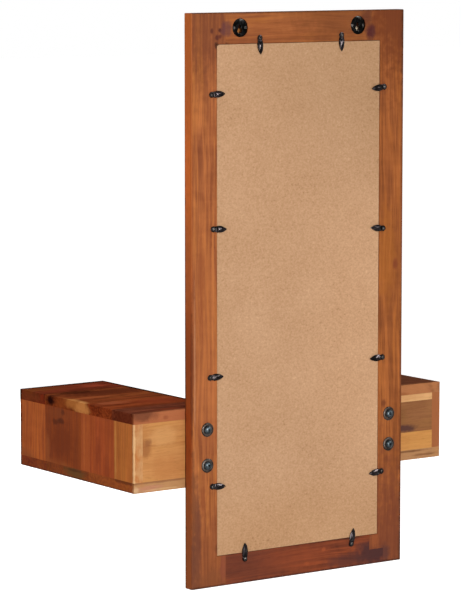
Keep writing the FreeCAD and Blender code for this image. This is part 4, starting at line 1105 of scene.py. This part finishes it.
# %% [markdown]
# ## Floor and background
#
# The object hangs in a white studio with a wide pale floor below it. A bright world would give the white
# too, but it would light the wood from all sides and flatten it. So the floor and the world are bright
# only for the rays that the eye follows (camera, reflection, transmission), and the world lights the
# object just enough to fill its shadows.

# %% Floor
FLOOR_BELOW = 0.45
FLOOR_SIZE = 60
bm = bmesh.new()
bmesh.ops.create_grid(bm, x_segments=1, y_segments=1, size=FLOOR_SIZE / 2)
bmesh.ops.translate(bm, verts=bm.verts, vec=(0, 0, cad_low.z - FLOOR_BELOW))
floor_mesh = bpy.data.meshes.new("studio_floor")
bm.to_mesh(floor_mesh)
bm.free()
floor = bpy.data.objects.new("studio_floor", floor_mesh)
bpy.context.scene.collection.objects.link(floor)


def ray_the_eye_follows(tree):
    """1 for camera, glossy and transmission rays and 0 for the rest."""
    rays = add_node(tree, "ShaderNodeLightPath").outputs
    followed = rays["Is Camera Ray"]
    for kind in ("Is Glossy Ray", "Is Transmission Ray"):
        followed = add_node(tree, "ShaderNodeMath", {
            0: followed, 1: rays[kind]}, operation="MAXIMUM").outputs[0]
    return followed


FLOOR_GLOW = 0.62
# Painted studio floor: gives the eye a white that runs into the background with no horizon.
pale, shader = new_finish("pale_floor", Base_Color=paint("#f2f1ef"), Roughness=0.9)
glow = add_node(pale, "ShaderNodeMath", {
    0: ray_the_eye_follows(pale), 1: FLOOR_GLOW}, operation="MULTIPLY").outputs[0]
pale.node_tree.links.new(glow, shader.inputs["Emission Strength"])
shader.inputs["Emission Color"].default_value = paint("#ffffff")
floor_mesh.materials.append(pale)
print("floor at", round(cad_low.z - FLOOR_BELOW, 3), "m")

# %% World
FILL_STRENGTH = 0.45
world = bpy.data.worlds.new("white_studio")
world.use_nodes = True
bpy.context.scene.world = world
background = world.node_tree.nodes["Background"]
background.inputs["Color"].default_value = paint("#ffffff")
strength = add_node(world, "ShaderNodeMapRange", {
    "Value": ray_the_eye_follows(world), "To Min": FILL_STRENGTH, "To Max": 1.0}).outputs[0]
world.node_tree.links.new(strength, background.inputs["Strength"])
print("world fills shadows with a strength of", FILL_STRENGTH)

# %% [markdown]
# ## Lamps
#
# A large soft key lamp stands behind the object, on the camera's side of it, since the back of the frame
# is the brightest face. A weaker fill lights the mirror's side for anyone who looks from there. Brighter
# lamps could put the glints on the steel as well, but they would wash out the wood, so two small lamps
# touch nothing but glossy surfaces. Light falls off with the square of the distance, so a lamp's power
# grows with it, and its share says how bright it makes the object from anywhere.

# %% Lamps
# Places and sizes are in metres.
Lamp = namedtuple("Lamp", "place width height share lights_wood")
LAMPS = {
    "soft_key": Lamp(Vector((2.2, 5.0, 1.0)), 2.4, 2.4, 0.5, True),
    "front_fill": Lamp(Vector((-1.6, -5.0, -0.3)), 2.4, 2.4, 0.35, True),
    "glint_strip": Lamp(Vector((-0.7, 4.9, -0.75)), 0.8, 1.4, 1.3, False),
    "side_glint": Lamp(Vector((-3.3, 4.0, 1.1)), 0.5, 0.7, 0.38, False),
}
TARGET = (cad_low + cad_high) / 2
for name, each in LAMPS.items():
    aim = TARGET - each.place
    lamp_data = bpy.data.lights.new(name, "AREA")
    lamp_data.shape = "ELLIPSE"
    lamp_data.size = each.width
    lamp_data.size_y = each.height
    lamp_data.energy = each.share * (math.pi * aim.length) ** 2
    lamp = bpy.data.objects.new(name, lamp_data)
    lamp.location = each.place
    lamp.rotation_mode = "QUATERNION"
    lamp.rotation_quaternion = aim.to_track_quat("-Z", "Y")
    lamp.visible_diffuse = each.lights_wood
    lamp.visible_camera = False
    bpy.context.scene.collection.objects.link(lamp)
    print(name, "at", tuple(round(value, 2) for value in each.place), "watts", round(lamp_data.energy))

# %% [markdown]
# ## Camera
#
# The picture was taken from about six metres with a long lens, a little from above, so that upright edges
# stay nearly parallel. A nearer camera with a short lens could frame the object just as well, but it
# would make the near box look much larger than the far one.

# %% Camera
# Places are in metres, and a yaw of 0 looks straight at the back.
SENSOR_MM = 36
FARTHEST_SEEN = 200
CAMERA_PLACE = Vector((3.5343, 4.7444, 0.1886))
CAMERA_YAW = math.radians(35.424)
CAMERA_PITCH = math.radians(-6.774)
LENS_MM = 187.64
look = Vector((
    -math.sin(CAMERA_YAW) * math.cos(CAMERA_PITCH), -math.cos(CAMERA_YAW) * math.cos(CAMERA_PITCH),
    math.sin(CAMERA_PITCH)))
camera_data = bpy.data.cameras.new("photo_camera")
camera_data.lens = LENS_MM
camera_data.sensor_width = SENSOR_MM
camera_data.clip_end = FARTHEST_SEEN
camera = bpy.data.objects.new("photo_camera", camera_data)
camera.location = CAMERA_PLACE
camera.rotation_mode = "QUATERNION"
camera.rotation_quaternion = look.to_track_quat("-Z", "Y")
bpy.context.scene.collection.objects.link(camera)
bpy.context.scene.camera = camera
bpy.context.scene.view_settings.view_transform = "Standard"
print("camera at", tuple(round(value, 3) for value in CAMERA_PLACE))
